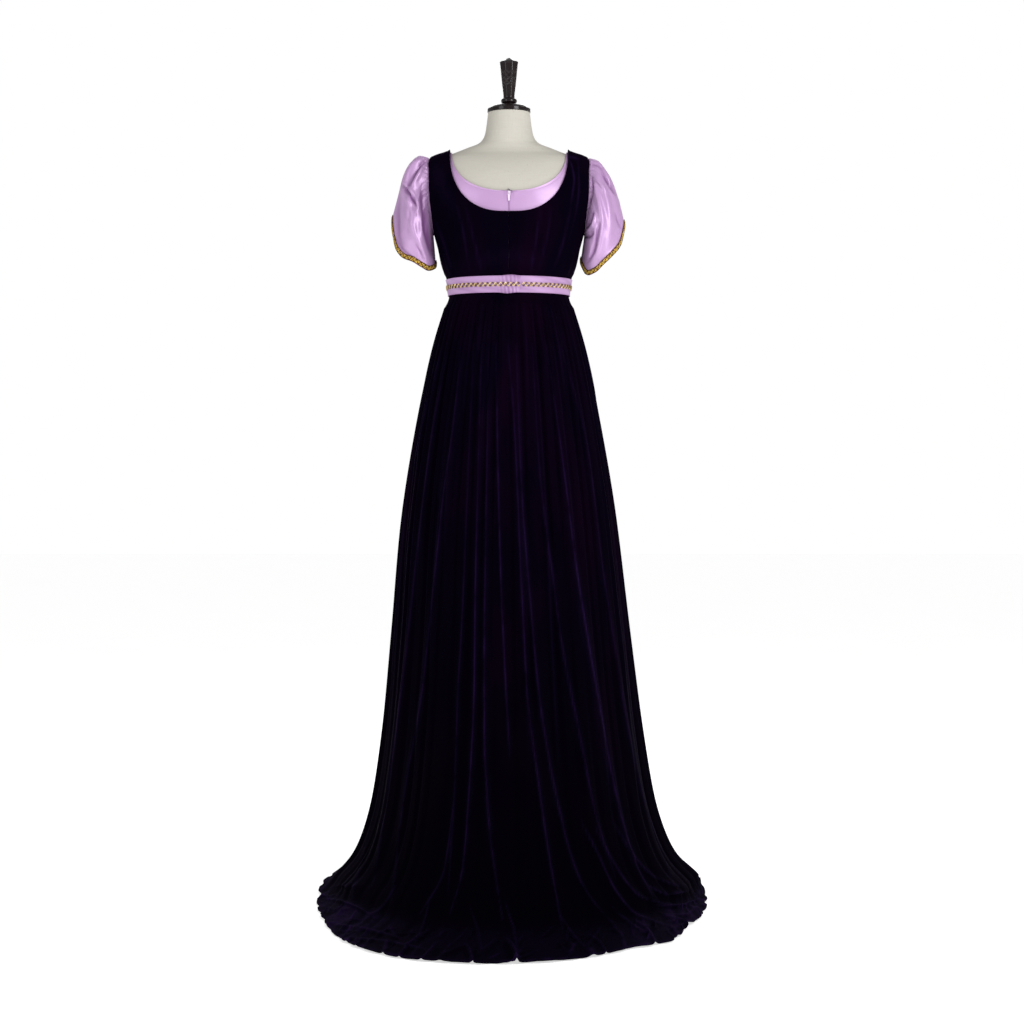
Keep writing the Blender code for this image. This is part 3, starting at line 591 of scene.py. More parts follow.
satin_skins = bodice_skins(SATIN_NECK, SATIN_OFF + SATIN_WALL, 0.0, 48, SATIN_CORNER, 56, satin_relief)
for part in ("back_left", "back_right"):
    x, z = np.abs(satin_skins[part][..., 0]), satin_skins[part][..., 2]
    # Painted shade on the backs: a dark line along the centre-back seam and darker stripes among the puckers
    # at the top of the zip.
    pucker_shade = np.exp(-np.maximum(0, 1.5125 - z) / 0.0120) * (hill(x / 0.0120) * np.sin(x * 780) ** 2)
    piece = cloth(
        f"under_bodice_{part}", f"dress_{part}", satin_skins[part], SATIN_WALL, satin,
        crest=np.clip(0.65 * hill(x / 0.0011) + 0.55 * pucker_shade, 0, 1),
    )
piece = front_panel(
    "under_bodice_front", "dress_front", satin_skins["front"], SATIN_CORNER, SATIN_WALL, satin
)


# The under-dress skirt: the same satin, gored, and joined to the bodice at the raised waist. It hangs inside
# the velvet in loose flutes and is seen only from below.
UNDER_SKIRT = (
    (1.2640, 0.1350, 0.1070, 0.1100, 0.0000),
    (1.1850, 0.1480, 0.1160, 0.1180, 0.0015),
    (0.9700, 0.1880, 0.1330, 0.1560, 0.0040),
    (0.6500, 0.2200, 0.1600, 0.1900, 0.0070),
    (0.3300, 0.2450, 0.1850, 0.2200, 0.0090),
    (0.0400, 0.2650, 0.2050, 0.2450, 0.0100),
)
UNDER_FLUTES = 16
SKIRT_SQUARE = 2.15
SEAM_RING = BELT_LOW - 0.0010


def irregular(k, spread):
    """A steady scatter about 1, so that neighbouring folds differ."""
    return 1 + spread * np.sin(2.399 * k + 0.7) * np.cos(0.93 * k)


def under_skirt_skin(columns, rows):
    angle = round_turn(columns)[None, :]
    heights, *columns_down = zip(*UNDER_SKIRT)
    at = [curve_through(np.negative(heights), column) for column in columns_down]
    z = np.linspace(UNDER_SKIRT[0][0], UNDER_SKIRT[-1][0], rows)[:, None]
    half_width, front, back, flute = (f(-z) for f in at)
    x, y = oval(angle, half_width, front, back, 0.0, SKIRT_SQUARE)
    wave = np.cos(UNDER_FLUTES * angle) * irregular(np.floor(angle * UNDER_FLUTES / (2 * math.pi) + 0.5), 0.3)
    spot = places(x, y, z)
    hanging = spot + unit(spot * np.array((1, 1, 0))) * (flute * wave)[..., None]
    heights = WAIST_SEAM - SEAM_GAP / 2, SEAM_RING
    top = [off_body(angle[0], run_at(height), SATIN_OFF + SATIN_WALL) for height in heights]
    return np.concatenate([np.stack(top), hanging])


piece = cloth("under_skirt", "dress_skirt", under_skirt_skin(192, 42), SATIN_WALL, satin, round_it=True)


# The sleeves: the same satin, cut as a full petal, gathered into the armhole and open below. Tucks radiate
# from the seam, long soft folds fall to the hem, and the hem itself is edged with braid.
HEM_ANGLES = (0, 20, 40, 66, 90, 112, 132, 155, 180)
LEFT = dict(
    cuff_centre=0.2110, head_lift=0.0020,
    hem=(1.462, 1.428, 1.392, 1.371, 1.363, 1.352, 1.345, 1.350, 1.362),
)
RIGHT = dict(
    cuff_centre=0.2080, head_lift=-0.0180,
    hem=(1.452, 1.432, 1.401, 1.377, 1.357, 1.340, 1.335, 1.353, 1.370),
)
CUFF_HALF_WIDTH = 0.0490
CUFF_HALF_DEPTH = 0.0580
FRONT_HEM_RISE = 0.0140
SLEEVE_GATHERS = 7
SLEEVE_LINE = (
    (0.000, 0.000, 0.000),
    (0.120, 0.230, -0.025),
    (0.280, 0.490, 0.090),
    (0.460, 0.690, 0.300),
    (0.680, 0.830, 0.600),
    (0.915, 0.970, 0.915),
    (1.000, 1.000, 1.000),
)
PUFF = 0.014
SLEEVE_PLEAT = 0.0028
SLEEVE_CLEAR = 0.0015
SLEEVE_HEAD_EASE = 0.0024
VELVET_OFF = 0.0042
VELVET_WALL = 0.0020
SLEEVE_COLUMNS = 212
SLEEVE_ROWS = 96
# Creases of the left and right sleeve: the (column, row) places they run through in the view from behind,
# their height in millimetres, which is negative for a valley, and their half width in the view's pixels of
# 2.2 mm.
LEFT_CREASES = (
    (((428, 160), (421, 165), (417, 170), (412, 179), (407, 188)), -6.5, 1.7),
    (((428, 157), (414, 163), (407, 173), (403, 182)), 3.6, 2.2),
    (((427, 163), (422, 168), (418, 175), (412, 184)), 4.2, 1.8),
    (((402, 184), (407, 191), (413, 200), (417, 208)), -5.6, 1.4),
    (((404, 182), (410, 189), (416, 198), (419, 208)), 3.2, 1.6),
    (((401, 189), (406, 197), (411, 208), (413, 224)), 3.4, 2.2),
    (((407, 214), (413, 228), (419, 243), (427, 262)), 6.0, 3.4),
    (((421, 182), (424, 204), (426, 222), (429, 240), (434, 257)), -8.0, 3.6),
    (((399, 192), (398, 215), (398, 232), (402, 246)), -3.6, 2.2),
    (((395, 238), (402, 249), (411, 257), (423, 265)), -3.4, 2.0),
    (((416, 244), (420, 252), (424, 261)), -3.2, 1.2),
    (((432, 214), (435, 236), (438, 254)), 3.0, 1.6),
    (((412, 205), (415, 211), (416, 217)), -2.4, 1.6),
)
RIGHT_CREASES = (
    (((589, 164), (597, 165), (602, 169)), -3.6, 1.2),
    (((589, 160), (598, 162), (606, 171), (612, 184)), 2.4, 1.8),
    (((601, 168), (606, 179), (612, 188), (618, 196)), -5.6, 1.6),
    (((606, 168), (612, 180), (617, 190)), 3.6, 1.8),
    (((592, 178), (592, 192), (590, 200), (588, 208)), -5.6, 1.2),
    (((591, 178), (595, 179), (601, 185), (607, 192)), 3.0, 1.6),
    (((593, 212), (590, 222), (584, 231)), -4.8, 1.3),
    (((595, 214), (593, 224), (586, 233)), 3.4, 1.4),
    (((599, 224), (597, 236), (594, 249), (588, 261)), -5.2, 1.8),
    (((602, 222), (600, 238), (597, 254)), 3.4, 2.0),
    (((582, 236), (588, 237), (593, 233)), -4.2, 1.6),
    (((608, 200), (610, 226), (606, 250)), 2.4, 3.4),
    (((615, 212), (618, 221), (621, 228)), -3.0, 1.3),
)


VIEW_MIDDLE = (509, 500)
VIEW_AWAY = 5
VIEW_HEIGHT = 0.84
VIEW_SCALE = 450 * VIEW_AWAY


def in_view(points):
    """Where points are seen from behind: the (column, row) of the photograph."""
    scale = VIEW_SCALE / (VIEW_AWAY - points[..., 1])
    return VIEW_MIDDLE[0] - scale * points[..., 0], VIEW_MIDDLE[1] - scale * (points[..., 2] - VIEW_HEIGHT)


def along_line(columns, rows, line, half_width):
    """1 on a smooth line through (column, row) places, falling off beside it and towards both ends. With it
    comes the distance from the line and the share of the way along it."""
    pieces = 5 * (len(line) - 1)
    steps = np.linspace(0, len(line) - 1, pieces + 1)
    spots = np.stack([curve_through(range(len(line)), part)(steps) for part in zip(*line)], axis=-1)
    nearest = np.full(columns.shape, np.inf)
    along = np.zeros(columns.shape)
    for k, (start, stop) in enumerate(zip(spots, spots[1:])):
        step = stop - start
        share = np.clip(((columns - start[0]) * step[0] + (rows - start[1]) * step[1]) / (step @ step), 0, 1)
        away = np.hypot(columns - start[0] - share * step[0], rows - start[1] - share * step[1])
        along = np.where(away < nearest, (k + share) / pieces, along)
        nearest = np.minimum(nearest, away)
    fade = np.sin(math.pi * np.clip(along * 0.94 + 0.03, 0, 1)) ** 0.6
    return fade * hill(nearest / half_width), nearest, fade


def sleeve_skin(arm, columns, rows):
    """Outer face of the left sleeve: turn is 0 at the shoulder and half a turn under the arm, back first."""
    turn = round_turn(columns)[None, :]
    share = np.linspace(0, 1, rows)[:, None]
    hem_at = curve_through(np.radians(HEM_ANGLES), arm["hem"])
    shares, across, down = zip(*SLEEVE_LINE)
    across_at, down_at = curve_through(shares, across), curve_through(shares, down)
    back_place, front_place = (armhole_place(turn[0], side, -SLEEVE_HEAD_EASE) for side in (1, -1))
    angle = np.where(np.sin(turn[0]) >= 0, back_place[0], -front_place[0])
    run = back_place[1]
    inside = off_body(angle, run, SATIN_OFF)[None]
    start = off_body(angle, run, VELVET_OFF + VELVET_WALL + SLEEVE_CLEAR)[None]
    round_arm = np.arccos(np.clip(np.cos(turn), -1, 1))
    end = np.stack([
        arm["cuff_centre"] + CUFF_HALF_WIDTH * np.cos(turn), CUFF_HALF_DEPTH * np.sin(turn),
        hem_at(round_arm) + FRONT_HEM_RISE * np.maximum(0, -np.sin(turn)),
    ], axis=-1)
    outer = (1 + np.cos(turn)) / 2
    across = share + (across_at(share) - share) * outer
    down = share + (down_at(share) - share) * outer
    skin = start + (end - start) * np.stack([across, across, down], axis=-1)
    skin[..., 2] += arm["head_lift"] * outer ** 2 * np.sin(math.pi * np.minimum(1.0, share * 1.4))
    swell = PUFF * np.sin(math.pi * np.minimum(1.0, share * 1.1)) ** 1.2
    head = np.maximum(0.0, np.cos(turn * 0.5)) ** 2
    pleat = np.sin(math.pi * np.minimum(1.0, share * 1.25)) * head * np.cos(2 * SLEEVE_GATHERS * turn)
    skin[..., 1] += (swell + SLEEVE_PLEAT * pleat) * np.sin(turn)
    skin[..., 2] += SLEEVE_PLEAT * pleat * head
    return np.concatenate([inside, skin]), turn, np.concatenate([[[-0.05]], share])


def folded_sleeve(arm, creases, far_creases, side):
    skin, turn, share = sleeve_skin(arm, SLEEVE_COLUMNS, SLEEVE_ROWS)
    normal = grid_normals(skin, True)
    if (normal[SLEEVE_ROWS // 2:, :, 1] * skin[SLEEVE_ROWS // 2:, :, 1]).sum() < 0:
        normal = -normal
    columns, rows = in_view(skin * np.array((side, 1, 1)))
    relief, valley_shade = np.zeros(columns.shape), np.zeros(columns.shape)
    for faces_away, lines, places in ((1, creases, columns), (-1, far_creases, 2 * VIEW_MIDDLE[0] - columns)):
        on_side = np.clip(faces_away * skin[..., 1] / 0.02, 0, 1)
        for line, height, half_width in lines:
            ridge = on_side * along_line(places, rows, line, half_width)[0]
            relief += height / 1000 * ridge
            # Painted shade: each valley is painted darker in proportion to its depth.
            valley_shade += 0.14 * max(0, -height) * ridge
    tucks = np.cos(46 * turn + 1.3 * np.sin(5 * turn)) * np.exp(-np.maximum(share, 0) / 0.10)
    relief += 0.0012 * tucks * (share > 0) * (0.45 + 0.55 * np.cos(turn / 2) ** 2)
    relief *= np.clip(share / 0.02, 0, 1)
    return skin + normal * relief[..., None], normal, np.clip(valley_shade, 0, 0.85)


sleeves = {}
for side, prefix, arm, creases, far_creases in (
    (1, "left", LEFT, LEFT_CREASES, RIGHT_CREASES), (-1, "right", RIGHT, RIGHT_CREASES, LEFT_CREASES),
):
    skin, normal, valley_shade = folded_sleeve(arm, creases, far_creases, side)
    mirror = np.array((side, 1, 1))
    piece = cloth(
        f"puffed_sleeve_{prefix}", f"{prefix}_sleeve", skin * mirror, SATIN_WALL, satin,
        round_it=True, middle=(side * arm["cuff_centre"], 0.0), crest=valley_shade,
    )
    sleeves[prefix] = piece, skin * mirror, normal * mirror


# The sleeve braid: a three-strand plait, two of gold metal thread and one brown, on a brown backing tape with
# corded edges, 11.5 mm wide and sewn flat along the whole hem.
BRAID_OFF = 0.0003
SLEEVE_BRAID_WIDTH = 0.0115
PLAIT_LENGTH = 0.0112
THREAD_RADIUS = 0.00056
THREAD_APART = 0.00055
BRAID_SPACING = 0.0009
TAPE_WALL = 0.0006
EDGING_RADIUS = 0.0008


def gold_finish(name, bright, dark, roughness):
    """Metal thread wound on a core: fine twist, tarnished in the hollows."""
    gold = Finish(name, "gold_braid", Specular_IOR_Level=0.6)
    twist = gold.noise(1800, 2)
    tarnish = gold.ramp(gold.noise(190, 2), 0.44, 0.70)
    return gold.finish(
        Base_Color=gold.mix(tarnish, bright, dark),
        Metallic=0.85 - 0.30 * tarnish,
        Roughness=roughness + 0.22 * tarnish,
        Normal=gold.bump(twist, 0.0002, 0.7),
    )


gold = gold_finish("gold_thread", (0.900, 0.620, 0.130), (0.560, 0.330, 0.050), 0.30)
brown_cord = gold_finish("brown_cord", (0.150, 0.062, 0.016), (0.060, 0.024, 0.010), 0.65)


def cord(line, normal, radius, flat, sides=5, round_it=False):
    """Points and faces of a cord along a line of points; flat is its height as a share of its width."""
    if round_it:
        ahead = np.roll(line, -1, axis=0) - np.roll(line, 1, axis=0)
    else:
        ahead = np.gradient(line, axis=0)
    ahead = unit(ahead)
    across = unit(np.cross(ahead, normal))
    up = np.cross(across, ahead)
    angle = round_turn(sides)
    ring = across[:, None] * np.cos(angle)[None, :, None] + flat * up[:, None] * np.sin(angle)[None, :, None]
    points = line[:, None] + radius * ring
    count = len(line)
    rows = grid_faces(count, sides, True)
    if round_it:
        k = np.arange(sides)
        last = (count - 1) * sides
        seam = np.stack([last + k, last + (k + 1) % sides, (k + 1) % sides, k], axis=-1)
        return points.reshape(-1, 3), np.concatenate([rows, seam]).tolist()
    ends = [list(range(sides))[::-1], list(range((count - 1) * sides, count * sides))]
    return points.reshape(-1, 3), rows.tolist() + ends


def cord_pair(track, sway, rise, apart, radius, flat, round_it=False):
    """Two cords side by side. They sway across a track of middles, ways up and ways out, and rise off it."""
    middle, up, out = track
    lines = [middle + up * (sway + beside)[:, None] + out * rise[:, None] for beside in (-apart, apart)]
    return [cord(line, out, radius, flat, round_it=round_it) for line in lines]


def resampled(points, spacing, round_it, *others):
    """The same line with points evenly spaced, and the other rows of numbers that go with it."""
    if round_it:
        points, *others = (np.concatenate([p, p[:1]]) for p in (points, *others))
    lengths = np.concatenate([[0.0], np.cumsum(np.linalg.norm(np.diff(points, axis=0), axis=1))])
    wanted = np.linspace(0, lengths[-1], round(lengths[-1] / spacing), endpoint=not round_it)
    rows = [
        np.stack([np.interp(wanted, lengths, p[:, k]) for k in range(3)], axis=-1) for p in (points, *others)
    ]
    return (*rows, wanted, lengths[-1])


def join(parts):
    points, faces, count = [], [], 0
    for some_points, some_faces in parts:
        points.append(some_points)
        faces += [[corner + count for corner in face] for face in some_faces]
        count += len(some_points)
    return np.concatenate(points), faces


for prefix, (sleeve, skin, normal) in sleeves.items():
    edge = skin[-1]
    upward = unit(skin[-9] - edge)
    middle, middle_normal, middle_up, wanted, length = resampled(
        edge + upward * SLEEVE_BRAID_WIDTH / 2, BRAID_SPACING, True, unit(normal[-2]), upward
    )
    phase = 2 * math.pi * round(length / PLAIT_LENGTH) * wanted / length
    parts, dark_parts = [], []
    for strand, group in enumerate((parts, parts, dark_parts)):
        turn = phase + 2 * math.pi * strand / 3
        sway = (SLEEVE_BRAID_WIDTH / 2 - 0.0024) * np.sin(turn)
        rise = BRAID_OFF + 0.0013 + 0.0006 * np.cos(2 * turn)
        track = middle, middle_up, middle_normal
        group += cord_pair(track, sway, rise, THREAD_APART, THREAD_RADIUS, 0.9, round_it=True)
    strands = put_mesh(f"sleeve_braid_{prefix}", *join(parts), gold, sharp=80)
    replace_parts(strands, f"{prefix}_sleeve_braid")
    half = SLEEVE_BRAID_WIDTH / 2
    across = np.linspace(-half, half, 4)[:, None, None]
    tape = cloth(
        f"sleeve_braid_tape_{prefix}", None,
        middle + middle_up * across + middle_normal * (BRAID_OFF + 0.0007),
        TAPE_WALL, brown_cord, round_it=True, middle=tuple(np.mean(middle, axis=0)[:2]),
    )
    for up in (-half + TAPE_WALL, half - TAPE_WALL):
        line = middle + middle_up * up + middle_normal * (BRAID_OFF + 0.0010)
        dark_parts.append(cord(line, middle_normal, EDGING_RADIUS, 0.8, round_it=True))
    edging = put_mesh(f"sleeve_braid_edging_{prefix}", *join(dark_parts), brown_cord, sharp=80)
    "under_bodice_back_" + prefix


# The zip at centre back of the under-dress: an enamelled slider with its bail and a small pull tab. The
# solids are right as they are, and get lilac enamel, worn where fingers hold it.
def enamel_finish():
    enamel = Finish("lilac_enamel", Coat_Roughness=0.15)
    speckle = enamel.noise(2600, 2)
    worn = enamel.ramp(enamel.noise(700, 2), 0.60, 0.72)
    return enamel.finish(
        Base_Color=enamel.mix(worn * 0.5, (0.930, 0.800, 0.960), (0.860, 0.830, 0.880)),
        Metallic=0.15 + 0.4 * worn,
        Roughness=0.28 + 0.15 * speckle,
        Coat_Weight=0.5 - 0.4 * worn,
    )


coat_solids(("zip_slider", "zip_pull"), enamel_finish())


# The hook and eye above the zip: plated wire 1 mm thick, bent cold and sewn to the inside of the two backs,
# so that the eye and the bend of the hook stand up over the neckline.
WIRE_RADIUS = 0.0005
HOOK = (
    (-0.0062, -0.0052), (-0.0070, -0.0016), (-0.0040, 0.0006), (0.0006, 0.0014), (0.0014, 0.0028),
    (-0.0022, 0.0034),
)
EYE_RADIUS = 0.0029


def wire_finish():
    """Dark nickel plate, with fine scratches and a dull film where it has been handled."""
    wire = Finish("nickel_wire", "zip_enamel", Specular_IOR_Level=0.4)
    film = wire.noise(900, 3)
    return wire.finish(
        Base_Color=wire.mix(film, (0.240, 0.200, 0.250), (0.140, 0.110, 0.150)),
        Metallic=0.95 - 0.20 * film,
        Roughness=0.22 + 0.25 * film,
    )


wire = wire_finish()
seat_run = run_at(SATIN_NECK["back_low"] - 0.0004)
seat, seat_up = (off_body(math.pi / 2, run, SATIN_OFF + SATIN_WALL) for run in (seat_run, seat_run + 0.01))
up = unit(seat_up - seat)
out = np.array((0.0, up[2], -up[1]))
side = np.array((1.0, 0.0, 0.0))
turn = round_turn(28)
eye_line = (
    seat + out * 0.0011 + side * (0.0010 + EYE_RADIUS * np.cos(turn))[:, None]
    + up * (0.0012 + EYE_RADIUS * np.sin(turn))[:, None]
)
steps = np.linspace(0, len(HOOK) - 1, 40)
hook_x, hook_z = (curve_through(range(len(HOOK)), part)(steps) for part in zip(*HOOK))
hook_line = seat + out * 0.0019 + side * hook_x[:, None] + up * hook_z[:, None]
parts = [
    cord(eye_line, np.broadcast_to(out, eye_line.shape), WIRE_RADIUS, 1.0, sides=8, round_it=True),
    cord(hook_line, np.broadcast_to(out, hook_line.shape), WIRE_RADIUS, 1.0, sides=8),
]
put_mesh("hook_and_eye", *join(parts), wire, sharp=80)


# The over-gown's bodice: very dark blue-purple velvet, sleeveless, with a front cut on the fold and two backs
# joined at centre back. Its edges are turned under, and it is drawn into soft gathers above the belt.
VELVET_NECK = dict(half_width=0.1280, back_low=1.4660, front_low=1.4480, square=2.40)
VELVET_ARMHOLE_EASE = 0.0006
VELVET_CORNER = 50
# Drag lines of the two backs, as for the sleeves, with painted highlights along them, along the strap edges
# and in broad bands, and how bright each painted highlight is.
BODICE_FOLDS = (
    (((436, 222), (443, 240), (451, 268)), 0.9, 1.8, 0.30),
    (((457, 206), (463, 230), (470, 270)), 0.9, 1.8, 0.30),
    (((466, 208), (473, 235), (481, 270)), 0.8, 1.6, 0.26),
    (((541, 206), (537, 235), (531, 270)), 0.9, 1.8, 0.30),
    (((551, 206), (547, 235), (539, 270)), 0.8, 1.6, 0.26),
    (((571, 206), (565, 235), (554, 270)), 0.9, 1.8, 0.30),
    (((566, 156), (571, 164), (574, 180), (571, 204)), 0.8, 1.5, 0.60),
    (((578, 160), (579, 185), (576, 212), (569, 240)), 0.4, 1.6, 0.30),
    (((558, 154), (567, 156), (579, 159)), 0.4, 2.0, 0.70),
    (((428, 157), (437, 154), (447, 151)), 0.4, 2.0, 0.50),
    (((436, 160), (440, 180), (452, 205)), 0.0, 10.0, 0.16),
    (((560, 160), (556, 178), (546, 196), (530, 206)), 0.3, 1.6, 0.24),
    (((470, 262), (509, 256), (548, 262)), 0.0, 14.0, 0.10),
)


def velvet_finish():
    """Short silk pile: nearly black face on and darker still low down, a purple bloom where it is seen from
    its side, and a bluish painted highlight along the crests of folds, broken up along its length."""
    velvet = Finish(
        "purple_velvet", Sheen_Weight=0.03, Sheen_Roughness=0.34, Sheen_Tint=(0.20, 0.07, 0.50),
        Specular_IOR_Level=0.01,
    )
    brushed = velvet.ramp(velvet.noise(9, 4, (1, 1, 0.30)), 0.46, 0.66)
    streaks = velvet.noise(240, 2, (1, 1, 0.05))
    pile = velvet.noise(2200, 2)
    height = velvet.node("ShaderNodeSeparateXYZ", None, (velvet.place(),), out=2)
    ground = velvet.mix(brushed, (0.0010, 0.0002, 0.0026), (0.0034, 0.0003, 0.0042))
    nap = velvet.mix(streaks * 0.35, ground, (0.0032, 0.0009, 0.0080))
    # Darker towards the bottom: the darkest colour up to 2 cm above the floor, blending to the usual colour
    # at 1 m.
    darker_low_down = velvet.mix(velvet.ramp(height, 0.02, 1.0), (0.0005, 0.0001, 0.0014), nap)
    # Painted highlight: bluish where a piece marks fold crests, the hem and the lying sides, broken up by two
    # noises.
    highlight_breaks = velvet.ramp(velvet.noise(34, 3, (1, 1, 0.45)), 0.34, 0.62)
    painted_highlight = velvet.crest() * (0.25 + 0.75 * highlight_breaks) * (0.30 + 1.00 * pile)
    return velvet.finish(
        Base_Color=velvet.mix(painted_highlight, darker_low_down, (0.0185, 0.0078, 0.0470)),
        Roughness=0.74 + 0.20 * pile,
        Normal=velvet.bump(pile * 0.6 + streaks * 0.4, 0.0006, 0.5),
    )


velvet = velvet_finish()


def velvet_relief(side, flat, share, from_inner, from_arm, at_neck):
    """Rolled edges at neck and armhole, gathers above the belt, and a sunk seam at centre back."""
    z = flat[..., 2]
    strap = 0.0022 * hill(from_inner / 0.0130) * smooth((z - 1.583) / 0.014)
    stitched = 0.0010 * hill(from_inner / 0.0030) - 0.0004 * hill((from_inner - 0.0062) / 0.0014)
    roll = at_neck * (stitched + strap)
    roll = roll + 0.0007 * hill(from_arm / 0.0032) * (z > UNDERARM)
    above = z - BELT_HIGH - 0.004
    fade = np.clip(above / 0.012, 0, 1) * np.clip(1 - above / 0.14, 0, 1)
    wide = 0.5 - 0.5 * np.cos(2 * math.pi * (5 * share + 0.12 * np.sin(9 * share)))
    fine = 0.5 - 0.5 * np.cos(2 * math.pi * (17 * share + 0.5 * np.sin(7 * share)))
    folds = 0.0022 * fade * wide + 0.0012 * fade ** 2 * fine
    soft = 0.0012 * np.sin(2 * math.pi * (2.2 * share + 3.0 * (z - 1.33))) * np.clip(above / 0.03, 0, 1)
    soft = soft * np.clip(share / 0.1, 0, 1) * np.clip((1 - share) / 0.1, 0, 1) * (z < 1.56)
    seam = -0.0009 * hill(from_inner / 0.0016) * (side > 0) * (1 - at_neck)
    return roll + folds + np.maximum(soft, 0) + seam


velvet_skins = bodice_skins(
    VELVET_NECK, VELVET_OFF + VELVET_WALL, VELVET_ARMHOLE_EASE, 72, VELVET_CORNER, 62, velvet_relief
)
for part in ("back_left", "back_right"):
    skin = velvet_skins[part]
    normal = grid_normals(skin, False)
    normal = normal * np.sign((normal[..., 1] * skin[..., 1]).sum())
    columns, rows = in_view(skin)
    crest = np.zeros(columns.shape)
    for line, height, half_width, bright in BODICE_FOLDS:
        ridge, nearest, fade = along_line(columns, rows, line, half_width)
        skin = skin + normal * (height / 1000 * ridge)[..., None]
        # Painted highlight along each line.
        crest = crest + bright * fade * hill(nearest / (0.6 * half_width))
    piece = cloth(
        f"velvet_bodice_{part}", f"gown_{part}", skin, VELVET_WALL, velvet,
        crest=np.clip(crest, 0, 1),
    )
for part, side in (("back_left", 1), ("back_right", -1)):
    velvet_skins[part][:VELVET_CORNER + 1, 0, 0] = -side * SEAM_GAP / 3
piece = front_panel(
    "velvet_bodice_front", "gown_front", velvet_skins["front"], VELVET_CORNER, VELVET_WALL, velvet
)


# The over-gown's skirt: the same velvet, one front and two back panels, gathered into the raised waist and
# left to fall in long folds to the floor, where the back trails as a short train.
SKIRT_COLUMNS = ("height", "half_width", "front", "back", "centre", "drift", "gather", "flute")
SKIRT = (
    (1.2640, 0.1425, 0.1165, 0.1200, 0.00, 0.0000, 0.0020, 0.0000),
    (1.1850, 0.1630, 0.1330, 0.1560, 0.00, 0.0000, 0.0038, 0.0010),
    (1.0200, 0.1960, 0.1560, 0.2080, 0.00, 0.0000, 0.0048, 0.0030),
    (0.8000, 0.2290, 0.1820, 0.2680, 0.01, -0.0010, 0.0050, 0.0055),
    (0.5600, 0.2515, 0.2080, 0.3320, 0.02, -0.0050, 0.0046, 0.0080),
    (0.3400, 0.2745, 0.2300, 0.3980, 0.03, -0.0090, 0.0042, 0.0095),
    (0.1700, 0.3020, 0.2500, 0.4660, 0.05, -0.0110, 0.0040, 0.0100),
    (0.0800, 0.3370, 0.2680, 0.5230, 0.07, -0.0130, 0.0036, 0.0090),
    (0.0300, 0.3830, 0.2860, 0.5850, 0.09, -0.0150, 0.0030, 0.0070),
)
CONTACT = len(SKIRT) - 1
HEM = dict(half_width=0.413, front=0.312, back=0.934, centre=0.10, square=2.26, drift=-0.006, tail=0.036)
TAIL_FROM, TAIL_FULL = 0.37, 1.00
HEM_WAVE = 0.003
LYING_RIPPLE = 0.0065
BACK_GATHERS = 26
FRONT_GATHERS = 12
CREST_HALF_WIDTH = 0.62
